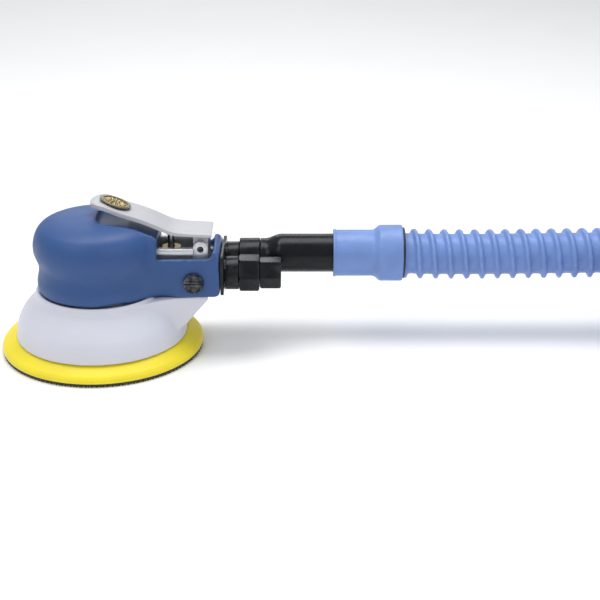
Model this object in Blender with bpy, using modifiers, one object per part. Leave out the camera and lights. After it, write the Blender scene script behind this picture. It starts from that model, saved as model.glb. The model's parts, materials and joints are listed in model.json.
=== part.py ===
"""Palm-grip random orbital sander, air driven, with a dust shroud and a vacuum hose coiled for storage.

Metres, +Z up, +X from the motor along the handle to the hose. The origin is the centre of the pad's
working face. The motor turns about an axis parallel to Z that lies one orbit offset in front of it (-Y).
Pieces drawn "about the motor" use coordinates whose origin is on that axis.
"""

import math

import bmesh
import bpy
from mathutils import Matrix, Vector

MM = 0.001
GAP = 0.3 * MM  # between pieces that touch

# Pad and orbit
ORBIT_OFFSET = 2.5 * MM  # half of the 5 mm orbit
PAD_R = 62.5 * MM
HOOK_TOP = 1.8 * MM
PAD_TOP = 10.5 * MM
PLATE_R = 43.0 * MM
PLATE_TOP = 13.3 * MM
DUST_HOLES = 5
DUST_HOLE_R = 5.0 * MM
DUST_HOLE_RING = 35.0 * MM

# Levels up the motor
SPINDLE_TOP = 31.8 * MM
BALANCER_TOP = 36.0 * MM
LOCK_RING_BOTTOM = 36.5 * MM
LOWER_PLATE_BOTTOM = 40.3 * MM
LINER_BOTTOM = 47.3 * MM
LINER_TOP = 66.3 * MM
UPPER_PLATE_BOTTOM = LINER_TOP + GAP
SHAFT_TOP = 76.0 * MM
HOUSING_TOP = 79.5 * MM

# Radii in the motor
SHAFT_R = 5.8 * MM
ROTOR_R = 21.5 * MM
LINER_BORE_R = 24.0 * MM
LINER_OFFSET = 2.2 * MM
STACK_R = 28.7 * MM  # end plates, liner and lock ring
HOUSING_BORE_R = STACK_R + GAP
HOUSING_R = 33.0 * MM
FLANGE_R = 37.5 * MM
SEAT_R = 11.3 * MM  # bearing seats
VANES = 5

# Handle
ARM_HALF_WIDTH = 14.6 * MM
ARM_BOTTOM = 42.8 * MM
ARM_TOP = 63.7 * MM
ARM_END = 74.2 * MM
HANDLE_HALF_WIDTH = 17.5 * MM
HANDLE_BOTTOM = 39.8 * MM
HANDLE_SIDE_TOP = 66.0 * MM
HANDLE_END = 75.0 * MM
RECESS_START = 37.5 * MM
RECESS_END = 71.0 * MM
END_WALL_TOP = 69.0 * MM

# Air path
INLET_Z = 49.3 * MM
THROTTLE_X = 45.0 * MM
REGULATOR_X = 59.2 * MM
REGULATOR_Z = 49.6 * MM
KNOB_R = 6.3 * MM
REAR_PLATE = (75.3 * MM, 77.3 * MM)  # its two faces along X
PLATE_SCREW_Y = 11.0 * MM
PLATE_SCREW_Z = 59.0 * MM
HANDLE_SIDES = (("near", -1), ("far", 1))
NECK_END = 86.0 * MM
LOCKNUT_END = 98.6 * MM
BUSHING_END = 111.9 * MM

# Lever
PIVOT = Vector((63.6, 0, 69.1)) * MM
LUG_R = 4.8 * MM
LEDGE_END = 59.2 * MM
LUG_SIDES = (8.8 * MM, 12.2 * MM)  # the casting's two lugs, each side of the middle
LEVER_HALF_WIDTH = 12.2 * MM
LEVER_THICKNESS = 1.6 * MM
LEVER_TIP = -3.5 * MM

# Vacuum line, about the motor
OUTLET_Y = 27.0 * MM
OUTLET_Z = 49.5 * MM
TUBE_Y = 25.0 * MM
TUBE_Z = 52.7 * MM
TUBE_R = 12.1 * MM
TUBE_END = 165.0 * MM
CUFF = (144.5 * MM, 191.2 * MM)

# Hose and its coil
HOSE_R = 15.7 * MM
COIL_R = 157.0 * MM  # at the middle of the turns
COIL_LIFT = 1.3 * MM  # the strap under the turns
COIL_X = 478.0 * MM
TAIL_R = 128.0 * MM  # the last stretch turns in from the coil
TAIL_START = math.radians(-9.8)
TAIL_END = math.radians(-121.7)
END_CUFF_R = 17.7 * MM
END_CUFF_LENGTH = 46.0 * MM
STRAP_THICKNESS = 1.0 * MM
STRAP_WIDTH = 14.0 * MM
STRAP_CLEARANCE = 1.0 * MM

FINISHES = {  # colour, roughness, metallic
    "blue_rubber": ((0.055, 0.115, 0.32), 0.55, 0.0),
    "cast_aluminium": ((0.62, 0.63, 0.65), 0.42, 0.9),
    "satin_steel": ((0.66, 0.67, 0.70), 0.35, 1.0),
    "dark_steel": ((0.10, 0.10, 0.11), 0.40, 0.9),
    "bronze": ((0.45, 0.29, 0.12), 0.40, 1.0),
    "black_plastic": ((0.020, 0.022, 0.027), 0.45, 0.0),
    "pale_plastic": ((0.60, 0.63, 0.74), 0.50, 0.0),
    "yellow_foam": ((0.93, 0.80, 0.03), 0.60, 0.0),
    "dark_hook": ((0.05, 0.05, 0.045), 0.90, 0.0),
    "composite": ((0.16, 0.17, 0.15), 0.60, 0.0),
    "hose_blue": ((0.17, 0.28, 0.60), 0.50, 0.0),
    "gold": ((0.55, 0.42, 0.16), 0.35, 1.0),
    "black_rubber": ((0.015, 0.015, 0.016), 0.70, 0.0),
}


# Scene, axes and materials


def clear_scene():
    for obj in list(bpy.data.objects):
        bpy.data.objects.remove(obj)


def new_collection(name):
    collection = bpy.data.collections.new(name)
    bpy.context.scene.collection.children.link(collection)
    return collection


clear_scene()
PARTS = new_collection("orbital_sander")
CUTTERS = new_collection("cutters")


def add_axis(name, place, parent=None):
    """An empty on a joint's axis, which carries the pieces that move about it."""
    empty = bpy.data.objects.new(name, None)
    PARTS.objects.link(empty)
    empty.parent = parent
    empty.location = place
    return empty


MOTOR_AXIS = add_axis("motor_axis", (0, -ORBIT_OFFSET, 0))
PAD_AXIS = add_axis("pad_axis", (0, ORBIT_OFFSET, 0), MOTOR_AXIS)
LEVER_AXIS = add_axis("lever_axis", PIVOT, MOTOR_AXIS)
THROTTLE_AXIS = add_axis("throttle_axis", (THROTTLE_X, 0, 0), MOTOR_AXIS)
REGULATOR_AXIS = add_axis("regulator_axis", (REGULATOR_X, 0, REGULATOR_Z), MOTOR_AXIS)
DRAWN_ABOUT_MOTOR = (LEVER_AXIS, THROTTLE_AXIS, REGULATOR_AXIS)


def add_material(obj, finish):
    colour, roughness, metallic = FINISHES[finish]
    material = bpy.data.materials.new(obj.name)
    material.use_nodes = True
    shader = material.node_tree.nodes["Principled BSDF"]
    shader.inputs["Base Color"].default_value = (*colour, 1)
    shader.inputs["Roughness"].default_value = roughness
    shader.inputs["Metallic"].default_value = metallic
    material.diffuse_color = (*colour, 1)
    obj.data.materials.append(material)


def add_object(name, data, finish, axis):
    """A piece where it has a finish, and otherwise a cutter or a shape that another piece is joined from."""
    obj = bpy.data.objects.new(name, data)
    obj.parent = axis
    if axis in DRAWN_ABOUT_MOTOR:
        obj.matrix_parent_inverse = Matrix.Translation(-axis.location)
    if finish:
        PARTS.objects.link(obj)
        add_material(obj, finish)
    else:
        CUTTERS.objects.link(obj)
        obj.hide_render = True
        obj.display_type = "WIRE"
    return obj


# Shapes


def turn_to(obj, direction):
    """Points the object's own Z along a world axis."""
    if direction == "X":
        obj.rotation_euler = (0, math.pi / 2, 0)
    elif direction == "Y":
        obj.rotation_euler = (-math.pi / 2, 0, 0)


def turned(name, profile, finish=None, axis=MOTOR_AXIS, steps=32, along="Z", at=(0, 0, 0)):
    """A turned piece from (radius, height) points. A profile that starts and ends off the axis is closed."""
    area = sum(a[0] * b[1] - b[0] * a[1] for a, b in zip(profile, profile[1:] + profile[:1]))
    points = list(reversed(profile)) if area > 0 else list(profile)
    edges = [(i, i + 1) for i in range(len(points) - 1)]
    if min(radius for radius, _ in points) > 0:
        edges.append((len(points) - 1, 0))
    else:
        while points[0][0] > 0 or points[-1][0] > 0:
            points.append(points.pop(0))
    mesh = bpy.data.meshes.new(name)
    mesh.from_pydata([(radius, 0, height) for radius, height in points], edges, [])
    obj = add_object(name, mesh, finish, axis)
    obj.location = at
    turn_to(obj, along)
    screw = obj.modifiers.new("Turn", "SCREW")
    screw.steps = steps
    screw.render_steps = steps
    screw.use_merge_vertices = True
    screw.merge_threshold = 0.00001
    return obj


def ring(name, inner, outer, bottom, top, finish=None, **options):
    return turned(name, [(inner, top), (outer, top), (outer, bottom), (inner, bottom)], finish, **options)


def rod(name, radius, bottom, top, finish=None, **options):
    return turned(name, [(0, top), (radius, top), (radius, bottom), (0, bottom)], finish, **options)


def box(name, low, high, finish=None, axis=MOTOR_AXIS, bevel=0.0, segments=2):
    low, high = Vector(low), Vector(high)
    shape = bmesh.new()
    bmesh.ops.create_cube(shape, size=1)
    bmesh.ops.scale(shape, vec=high - low, verts=shape.verts)
    bmesh.ops.translate(shape, vec=(low + high) / 2, verts=shape.verts)
    mesh = bpy.data.meshes.new(name)
    shape.to_mesh(mesh)
    shape.free()
    obj = add_object(name, mesh, finish, axis)
    if bevel:
        rounding = obj.modifiers.new("Round", "BEVEL")
        rounding.width = bevel
        rounding.segments = segments
    return obj


def rods_on_circle(name, count, ring_r, radius, bottom, top, axis, sides=12):
    """A cutter of upright rods, evenly spaced on a circle."""
    shape = bmesh.new()
    for i in range(count):
        angle = 2 * math.pi * (i + 0.5) / count
        place = Matrix.Translation(
            (ring_r * math.cos(angle), ring_r * math.sin(angle), (bottom + top) / 2)
        )
        bmesh.ops.create_cone(
            shape, cap_ends=True, segments=sides, radius1=radius, radius2=radius,
            depth=top - bottom, matrix=place,
        )
    mesh = bpy.data.meshes.new(name)
    shape.to_mesh(mesh)
    shape.free()
    return add_object(name, mesh, None, axis)


def curve_to_mesh(curve_object):
    """The same shape as a mesh with its caps joined on, so that it can be cut, joined or be a cutter."""
    bpy.context.view_layer.update()
    graph = bpy.context.evaluated_depsgraph_get()
    mesh = bpy.data.meshes.new_from_object(curve_object.evaluated_get(graph))
    shape = bmesh.new()
    shape.from_mesh(mesh)
    bmesh.ops.remove_doubles(shape, verts=shape.verts, dist=1e-6)
    bmesh.ops.recalc_face_normals(shape, faces=shape.faces)
    shape.to_mesh(mesh)
    shape.free()
    name, collection = curve_object.name, curve_object.users_collection[0]
    parent, world = curve_object.parent, curve_object.matrix_world.copy()
    inverse = curve_object.matrix_parent_inverse.copy()
    hidden = curve_object.hide_render
    bpy.data.objects.remove(curve_object)
    obj = bpy.data.objects.new(name, mesh)
    collection.objects.link(obj)
    obj.hide_render = hidden
    obj.display_type = "WIRE" if hidden else "TEXTURED"
    obj.parent = parent
    obj.matrix_parent_inverse = inverse
    obj.matrix_world = world
    return obj


def outline(name, points, low, high, finish=None, axis=MOTOR_AXIS, plane="XZ"):
    """A flat outline made solid between low and high on the axis it faces."""
    curve = bpy.data.curves.new(name, "CURVE")
    curve.dimensions = "2D"
    curve.fill_mode = "BOTH"
    curve.extrude = (high - low) / 2
    spline = curve.splines.new("POLY")
    spline.points.add(len(points) - 1)
    for knot, (a, b) in zip(spline.points, points):
        knot.co = (a, b, 0, 1)
    spline.use_cyclic_u = True
    obj = add_object(name, curve, finish, axis)
    middle = (low + high) / 2
    if plane == "XZ":
        obj.rotation_euler = (math.pi / 2, 0, 0)
        obj.location = (0, middle, 0)
    elif plane == "YZ":
        obj.rotation_euler = (math.pi / 2, 0, math.pi / 2)
        obj.location = (middle, 0, 0)
    else:
        obj.location = (0, 0, middle)
    return curve_to_mesh(obj)


def tube_along(name, points, radius, finish, axis=None, resolution=2):
    """A round bar along a chain of points, with flat ends."""
    curve = bpy.data.curves.new(name, "CURVE")
    curve.dimensions = "3D"
    curve.bevel_depth = radius
    curve.bevel_resolution = resolution
    curve.use_fill_caps = True
    spline = curve.splines.new("POLY")
    spline.points.add(len(points) - 1)
    for knot, place in zip(spline.points, points):
        knot.co = (*place, 1)
    return add_object(name, curve, finish, axis)


def lofted_tube(name, stations, finish, sides=20):
    """A tube along X through (x, axis y, axis z, outer radius, bore radius) stations."""
    shape = bmesh.new()
    walls = []
    for which in (3, 4):
        rings = []
        for station in stations:
            x, y, z = station[:3]
            ring_verts = []
            for i in range(sides):
                angle = 2 * math.pi * i / sides
                reach = station[which]
                place = (x, y + reach * math.cos(angle), z + reach * math.sin(angle))
                ring_verts.append(shape.verts.new(place))
            rings.append(ring_verts)
        walls.append(rings)
    outer, bore = walls
    around = outer + bore[::-1]
    for first, second in zip(around, around[1:] + around[:1]):
        for i in range(sides):
            j = (i + 1) % sides
            shape.faces.new((first[i], first[j], second[j], second[i]))
    bmesh.ops.recalc_face_normals(shape, faces=shape.faces)
    mesh = bpy.data.meshes.new(name)
    shape.to_mesh(mesh)
    shape.free()
    return add_object(name, mesh, finish, MOTOR_AXIS)


def combine(obj, *others, operation="DIFFERENCE"):
    for other in others:
        change = obj.modifiers.new(other.name, "BOOLEAN")
        change.operation = operation
        change.solver = "EXACT"
        change.object = other
    return obj


def cut(obj, *cutters):
    return combine(obj, *cutters)


def join(obj, *shapes):
    return combine(obj, *shapes, operation="UNION")


def arc(centre, radius, start, end, count):
    """Points on a circle from one angle to another, in degrees."""
    angles = [math.radians(start + (end - start) * i / (count - 1)) for i in range(count)]
    return [(centre[0] + radius * math.cos(a), centre[1] + radius * math.sin(a)) for a in angles]


def point(*values):
    """A point given in millimetres."""
    return tuple(value * MM for value in values)


def mm(points):
    return [point(*values) for values in points]


# Pad


def build_pad():
    holes = dict(count=DUST_HOLES, ring_r=DUST_HOLE_RING, radius=DUST_HOLE_R, axis=PAD_AXIS)
    hook = rod("hook_face", PAD_R - 0.2 * MM, 0, HOOK_TOP, "dark_hook", axis=PAD_AXIS, steps=44)
    cut(hook, rods_on_circle("hook_dust_holes", bottom=-MM, top=HOOK_TOP + MM, **holes))

    foam_bottom = HOOK_TOP + GAP
    stud_pocket_r, stud_pocket_z = 10.0 * MM, 7.5 * MM
    foam_profile = [
        (0, stud_pocket_z),
        (stud_pocket_r, stud_pocket_z),
        (stud_pocket_r, PAD_TOP),
        (PAD_R - 8.5 * MM, PAD_TOP),
        (PAD_R - 1.2 * MM, 6.0 * MM),
        (PAD_R, 4.6 * MM),
        (PAD_R, foam_bottom),
        (0, foam_bottom),
    ]
    foam = turned("pad_body", foam_profile, "yellow_foam", axis=PAD_AXIS, steps=44)
    cut(foam, rods_on_circle("foam_dust_holes", bottom=0, top=PAD_TOP + MM, **holes))

    stud_r = 3.7 * MM
    plate_bottom = PAD_TOP + GAP
    plate = ring(
        "pad_backing_plate", stud_r + GAP, PLATE_R, plate_bottom, PLATE_TOP, "composite",
        axis=PAD_AXIS, steps=32,
    )
    cut(plate, rods_on_circle("plate_dust_holes", bottom=PAD_TOP - MM, top=PLATE_TOP + MM, **holes))

    head_r = stud_pocket_r - 0.5 * MM
    stud_profile = [
        (0, 24 * MM),
        (stud_r, 24 * MM),
        (stud_r, PAD_TOP),
        (head_r, PAD_TOP),
        (head_r, stud_pocket_z + GAP),
        (0, stud_pocket_z + GAP),
    ]
    turned("pad_stud", stud_profile, "satin_steel", axis=PAD_AXIS, steps=20)


def build_bearing(name, levels, radii, axis, steps=16):
    """Two races and the ring of caged balls between them."""
    bottom, top = levels
    inner, outer = radii
    wall = 0.35 * (outer - inner)
    ring(name + "_inner_race", inner, inner + wall, bottom, top, "satin_steel", axis=axis, steps=steps)
    ring(name + "_outer_race", outer - wall, outer, bottom, top, "satin_steel", axis=axis, steps=steps)
    ball_r = (0.3 * (outer - inner) - 2 * GAP) / 2
    middle_r, middle_z = (inner + outer) / 2, (bottom + top) / 2
    section = arc((middle_r, middle_z), ball_r, 0, 270, 4)
    turned(name + "_balls", section, "dark_steel", axis=axis, steps=steps)


def build_spindle():
    flange_bottom = PLATE_TOP + GAP
    flange_top = 17.0 * MM
    shaft_r, bore_r = 6.0 * MM, 4.0 * MM
    profile = [
        (0, SPINDLE_TOP),
        (shaft_r, SPINDLE_TOP),
        (shaft_r, flange_top),
        (13.0 * MM, flange_top),
        (13.0 * MM, flange_bottom),
        (bore_r, flange_bottom),
        (bore_r, 26.0 * MM),
        (0, 26.0 * MM),
    ]
    turned("spindle", profile, "satin_steel", axis=PAD_AXIS, steps=24)
    clip = point(30.0, 31.0)
    ring("spindle_circlip", shaft_r + GAP, 8.0 * MM, *clip, "dark_steel", axis=PAD_AXIS, steps=20)


# Motor


def key_cutter(name):
    return box(name, point(3.9, -1.5, 49.7), point(8.1, 1.5, 64.3))


def build_balancer():
    """Eccentric cup for the spindle bearing, its counterweight, and the motor shaft, in one forging."""
    cup_bottom = 17.6 * MM
    offset = (0, ORBIT_OFFSET, 0)
    balancer = rod("shaft_balancer", SHAFT_R, 34 * MM, SHAFT_TOP, "dark_steel", steps=24)
    cup = rod("balancer_cup", 16.5 * MM, cup_bottom, BALANCER_TOP, at=offset, steps=32)
    weight = rod("balancer_weight", 24.0 * MM, 27 * MM, BALANCER_TOP - 0.6 * MM, steps=32)
    cut(weight, box("balancer_weight_trim", point(-30, -3, 20), point(30, 30, 40)))
    bore = rod("balancer_bore", 13.3 * MM, cup_bottom - MM, SPINDLE_TOP + 0.6 * MM, at=offset, steps=24)
    join(balancer, cup, weight)
    cut(balancer, bore, key_cutter("shaft_keyway"))


def build_rotor():
    bottom, top = LINER_BOTTOM + GAP, LINER_TOP - GAP
    rotor = ring("rotor", SHAFT_R + GAP, ROTOR_R, bottom, top, "satin_steel", steps=30)
    cut(rotor, key_cutter("rotor_keyway"))
    slot_root, slot_half = 11.5 * MM, 1.15 * MM
    for i in range(VANES):
        angle = 2 * math.pi * (i + 0.5) / VANES
        low, high = (slot_root, -slot_half, bottom - MM), (ROTOR_R + MM, slot_half, top + MM)
        slot = box(f"vane_slot_{i + 1}", low, high)
        slot.rotation_euler = (0, 0, angle)
        cut(rotor, slot)
        half = slot_half - GAP
        vane = box(
            f"rotor_vane_{i + 1}", (slot_root + GAP, -half, bottom + GAP), (ROTOR_R - GAP, half, top - GAP),
            "composite",
        )
        vane.rotation_euler = (0, 0, angle)
    box("rotor_key", point(4.2, -1.2, 50), point(7.8, 1.2, 64), "satin_steel")
    ring("shaft_circlip", SHAFT_R + GAP, 8.0 * MM, 73.5 * MM, 74.5 * MM, "dark_steel", steps=20)


def build_stack():
    """What the rotor turns in, clamped in the housing's bore by the lock ring."""
    ring("lock_ring", 10.0 * MM, STACK_R, LOCK_RING_BOTTOM, LOWER_PLATE_BOTTOM - GAP, "bronze", steps=24)

    web_hole = 7.0 * MM
    lower_top = LINER_BOTTOM - GAP
    lower_web = lower_top - 2.0 * MM
    lower_profile = [
        (SEAT_R, LOWER_PLATE_BOTTOM),
        (STACK_R, LOWER_PLATE_BOTTOM),
        (STACK_R, lower_top),
        (web_hole, lower_top),
        (web_hole, lower_web),
        (SEAT_R, lower_web),
    ]
    turned("lower_end_plate", lower_profile, "cast_aluminium", steps=24)

    upper_web = UPPER_PLATE_BOTTOM + 2.0 * MM
    upper_profile = [
        (SEAT_R, 73.4 * MM),
        (13.5 * MM, 73.4 * MM),
        (13.5 * MM, 70.0 * MM),
        (STACK_R, 70.0 * MM),
        (STACK_R, UPPER_PLATE_BOTTOM),
        (web_hole, UPPER_PLATE_BOTTOM),
        (web_hole, upper_web),
        (SEAT_R, upper_web),
    ]
    turned("upper_end_plate", upper_profile, "cast_aluminium", steps=24)

    liner = rod("cylinder_liner", STACK_R, LINER_BOTTOM, LINER_TOP, "satin_steel", steps=28)
    bore_at = (LINER_OFFSET, 0, 0)
    cut(liner, rod("liner_bore", LINER_BORE_R, LINER_BOTTOM - MM, LINER_TOP + MM, at=bore_at, steps=28))
    for name, side in (("liner_intake", 1), ("liner_exhaust", -1)):
        near, far = sorted((side * 20 * MM, side * 30 * MM))
        cut(liner, box(name, (5 * MM, near, 53 * MM), (12 * MM, far, 61 * MM)))


def build_motor():
    motor_seat = (SHAFT_R + GAP, SEAT_R - GAP)
    build_bearing("lower_bearing", point(40.5, 44.7), motor_seat, MOTOR_AXIS)
    build_bearing("upper_bearing", point(68.9, 73.1), motor_seat, MOTOR_AXIS)
    build_bearing("spindle_bearing", point(17.3, 29.7), point(6.3, 13.0), PAD_AXIS)
    build_balancer()
    build_rotor()
    build_stack()


# Housing and cover


def build_housing():
    """Casting that holds the motor, with the handle's arm, two ledges and the lever's two lugs."""
    bottom, flange_top = 33.2 * MM, 40.7 * MM
    profile = [
        (0, HOUSING_TOP),
        (20 * MM, HOUSING_TOP),
        (HOUSING_R, 73.5 * MM),
        (HOUSING_R, flange_top),
        (FLANGE_R, flange_top),
        (FLANGE_R, bottom),
        (HOUSING_BORE_R, bottom),
        (HOUSING_BORE_R, 70.3 * MM),
        (14 * MM, 70.3 * MM),
        (14 * MM, 77 * MM),
        (0, 77 * MM),
    ]
    housing = turned("motor_housing", profile, "cast_aluminium", steps=32)
    arm = box(
        "housing_arm", (31 * MM, -ARM_HALF_WIDTH, ARM_BOTTOM), (ARM_END, ARM_HALF_WIDTH, ARM_TOP),
        bevel=2 * MM, segments=1,
    )
    join(housing, arm)
    lug_foot = ARM_TOP - 2.2 * MM
    lug = arc((PIVOT.x, PIVOT.z), LUG_R, 0, 180, 9)
    lug += [(PIVOT.x - LUG_R, lug_foot), (PIVOT.x + LUG_R, lug_foot)]
    for name, side in HANDLE_SIDES:
        near, far = sorted((side * 9.2 * MM, side * 13.6 * MM))
        low, high = (30 * MM, near, ARM_TOP - MM), (LEDGE_END, far, 69.7 * MM)
        join(housing, box(f"{name}_ledge", low, high, bevel=1.6 * MM))
        near, far = sorted(side * reach for reach in LUG_SIDES)
        join(housing, outline(f"{name}_lug", lug, near, far))
    inlet, regulator = (0, 0, INLET_Z), (REGULATOR_X, 0, REGULATOR_Z)
    cut(
        housing,
        rod("arm_air_bore", 5.0 * MM, THROTTLE_X - 3.4 * MM, ARM_END - 4 * MM, along="X", at=inlet, steps=16),
        rod("arm_inlet_thread", 6.3 * MM, 65.7 * MM, ARM_END + MM, along="X", at=inlet, steps=20),
        rod("throttle_bore", 5.0 * MM, 44.6 * MM, ARM_TOP + MM, at=(THROTTLE_X, 0, 0), steps=20),
        rod("air_feed", 2.2 * MM, 27 * MM, THROTTLE_X, along="X", at=(0, 0, 55.4 * MM), steps=10),
        rod("regulator_bore", 4.8 * MM, -18 * MM, 10.5 * MM, along="Y", at=regulator, steps=20),
        rod("lever_pin_bore", 2.0 * MM, -16 * MM, 16 * MM, along="Y", at=(PIVOT.x, 0, PIVOT.z), steps=12),
        rod("stop_pin_bore", 1.1 * MM, ARM_BOTTOM - MM, 55 * MM, at=point(63.5, -7, 0), steps=8),
    )
    for name, side in HANDLE_SIDES:
        place = (0, side * PLATE_SCREW_Y, PLATE_SCREW_Z)
        bore = rod(f"{name}_screw_bore", 1.9 * MM, 60 * MM, ARM_END + MM, along="X", at=place, steps=10)
        cut(housing, bore)


def build_cover():
    """Moulded grip: a round head over the motor, and an open-topped handle round the arm."""
    head_profile = mm(
        [
            (0, 87.5), (15, 86.6), (26, 84.7), (32.5, 82.3), (35.6, 79.6), (37.7, 75.8), (39.0, 70.5),
            (38.8, 65.5), (37.5, 61.5), (36.2, 57.3), (36.6, 52.5), (37.6, 48), (37.7, 44), (37.2, 41.3),
            (0, 41.3),
        ]
    )
    cover = turned("grip_cover", head_profile, "blue_rubber", steps=36)
    side = HANDLE_HALF_WIDTH
    handle = box(
        "cover_handle", (20 * MM, -side, HANDLE_BOTTOM), (HANDLE_END, side, HANDLE_SIDE_TOP), bevel=2.5 * MM,
    )
    saddle_points = mm([(8, 60), (8, 84), (22, 82.6), (33, 80.5), (37.5, 78), (37.5, 60)])
    saddle = outline("cover_saddle", saddle_points, -side, side)
    wall_low, wall_high = (RECESS_END, -side, 60 * MM), (HANDLE_END, side, END_WALL_TOP)
    join(cover, handle, saddle, box("cover_end_wall", wall_low, wall_high, bevel=1.5 * MM, segments=1))

    motor_space = [
        (0, HOUSING_TOP + 0.4 * MM),
        (20.4 * MM, HOUSING_TOP + 0.4 * MM),
        (HOUSING_R + 0.4 * MM, 73.9 * MM),
        (HOUSING_R + 0.4 * MM, 41.3 * MM),
        (FLANGE_R + 0.4 * MM, 41.3 * MM),
        (FLANGE_R + 0.4 * MM, 30 * MM),
        (0, 30 * MM),
    ]
    inner = ARM_HALF_WIDTH + 0.4 * MM
    trough_points = mm([(-1, 96), (0.5, 84.6), (20, 82.0), (34, 77.0), (40, 74.0), (40, 96)])
    knob_at = (REGULATOR_X, 0, REGULATOR_Z)
    cut(
        cover,
        turned("cover_motor_space", motor_space, steps=32),
        box("cover_arm_space", (20 * MM, -inner, ARM_BOTTOM - GAP), (80 * MM, inner, ARM_TOP + GAP)),
        box("cover_ledge_space", (20 * MM, -14 * MM, 60 * MM), (50 * MM, 14 * MM, 70.1 * MM)),
        box("cover_recess", (RECESS_START, -30 * MM, HANDLE_SIDE_TOP), (RECESS_END, 30 * MM, 100 * MM)),
        box("cover_recess_well", (RECESS_START, -inner, 60 * MM), (RECESS_END, inner, 70 * MM)),
        outline("cover_trough", trough_points, -15.5 * MM, 15.5 * MM),
        rod("cover_knob_hole", 5.2 * MM, -20 * MM, -12 * MM, along="Y", at=knob_at, steps=20),
        box("cover_rear_trim", (HANDLE_END, -30 * MM, 30 * MM), (90 * MM, 30 * MM, 90 * MM)),
    )


def build_shroud():
    """Skirt hooked over the housing's flange, with a duct under and behind the handle to the vacuum port."""
    outer = [
        (38.9, 41), (39.6, 37.5), (40.8, 35.2), (42.7, 33.4), (45.0, 31.3), (47.6, 28.0), (50.1, 23.7),
        (51.1, 20.6), (51.7, 19), (52.8, 12.4), (53.0, 11.1),
    ]
    inner = [(37.8, 32.8), (35, 32.8), (35, 31.2), (44.0, 29.4), (48.2, 24), (50, 19.5), (51.2, 11.1)]
    shroud = turned("dust_shroud", mm([(37.8, 41)] + outer + inner[::-1]), "pale_plastic", steps=36)
    low_duct = mm([(38, 39.4), (67.5, 39.4), (67.5, 37.6), (54, 21.2), (49, 16.2), (38, 16.2)])
    riser = mm([(40, 61), (74.8, 61), (74.8, 35.7), (59, 19.9), (40, 19.9)])
    join(
        shroud,
        outline("low_duct", low_duct, -15 * MM, 34 * MM),
        outline("duct_riser", riser, 18.6 * MM, 36 * MM),
    )
    low_space = mm([(38, 37.4), (64.8, 37.4), (52.5, 22.4), (48, 18.2), (38, 18.2)])
    riser_space = mm([(42, 59), (72.6, 59), (72.6, 36.4), (59, 22.8), (42, 22.8)])
    inside = mm([(0, 45), (37.8, 45)] + inner + [(51.2, 5), (0, 5)])
    side = HANDLE_HALF_WIDTH + 0.4 * MM
    cut(
        shroud,
        outline("low_duct_space", low_space, -13 * MM, 33.9 * MM),
        outline("riser_space", riser_space, 20.6 * MM, 34 * MM),
        turned("shroud_inside", inside, steps=36),
        rod("duct_outlet", 8.0 * MM, 70 * MM, 76 * MM, along="X", at=(0, OUTLET_Y, OUTLET_Z), steps=20),
        box("handle_clearance", (30 * MM, -side, 39.4 * MM), (80 * MM, side, 50 * MM)),
    )


# Handle fittings


def build_rear_plate():
    points = mm(
        [
            (-17, 42), (-15.5, 40.5), (17, 40.5), (20, 38.5), (34, 38.5), (37.5, 42), (37.5, 57.5), (34, 61),
            (17, 62), (14, 65), (-14, 65), (-17, 62),
        ]
    )
    front, back = REAR_PLATE
    plate = outline("rear_plate", points, front, back, "black_plastic", plane="YZ")
    through = dict(bottom=front - MM, top=back + MM, along="X")
    cut(
        plate,
        rod("plate_inlet_hole", 6.3 * MM, at=(0, 0, INLET_Z), steps=20, **through),
        rod("plate_vacuum_hole", 8.0 * MM, at=(0, OUTLET_Y, OUTLET_Z), steps=20, **through),
    )
    head_r, shank_r = 2.9 * MM, 1.6 * MM
    head_top, slot_bottom, slot_half = back + 1.5 * MM, back + 0.9 * MM, 0.4 * MM
    screw_profile = [
        (0, head_top),
        (head_r, head_top),
        (head_r, back + GAP),
        (shank_r, back + GAP),
        (shank_r, 62 * MM),
        (0, 62 * MM),
    ]
    for name, side in HANDLE_SIDES:
        y = side * PLATE_SCREW_Y
        place = (0, y, PLATE_SCREW_Z)
        cut(plate, rod(f"{name}_plate_hole", 1.9 * MM, at=place, steps=10, **through))
        screw = turned(f"rear_plate_screw_{name}", screw_profile, "dark_steel", along="X", at=place, steps=12)
        low = (slot_bottom, y - 4 * MM, PLATE_SCREW_Z - slot_half)
        high = (head_top + MM, y + 4 * MM, PLATE_SCREW_Z + slot_half)
        cut(screw, box(f"{name}_screw_slot", low, high))


def build_inlet():
    back = REAR_PLATE[1]
    at = (0, 0, INLET_Z)
    adapter = [
        (4.3 * MM, 66 * MM),
        (6.0 * MM, 66 * MM),
        (6.0 * MM, back + GAP),
        (10.5 * MM, back + GAP),
        (10.5 * MM, NECK_END),
        (6.3 * MM, NECK_END),
        (6.3 * MM, LOCKNUT_END),
        (4.3 * MM, LOCKNUT_END),
    ]
    turned("inlet_adapter", adapter, "black_plastic", along="X", at=at, steps=18)
    hexagons = (  # corner radius, bore and ends
        ("inlet_locknut", 11.5 * MM, 6.6 * MM, NECK_END + GAP, LOCKNUT_END),
        ("inlet_bushing", 9.9 * MM, 5.2 * MM, LOCKNUT_END + GAP, BUSHING_END),
    )
    for name, radius, bore_r, start, end in hexagons:
        corners = arc((0, INLET_Z), radius, 0, 300, 6)
        fitting = outline(name, corners, start, end, "black_plastic", plane="YZ")
        cut(fitting, rod(f"{name}_bore", bore_r, start - MM, end + MM, along="X", at=at, steps=20))
    mesh_start = LOCKNUT_END + 2 * GAP
    mesh_end = mesh_start + 0.8 * MM
    screen = rod("inlet_screen", 4.9 * MM, mesh_start, mesh_end, "satin_steel", along="X", at=at, steps=20)
    holes = rods_on_circle(
        "screen_holes", 6, 2.9 * MM, 0.7 * MM, mesh_start - MM, mesh_start + 2 * MM, MOTOR_AXIS, 6
    )
    holes.location = at
    turn_to(holes, "X")
    cut(screen, holes)


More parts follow.
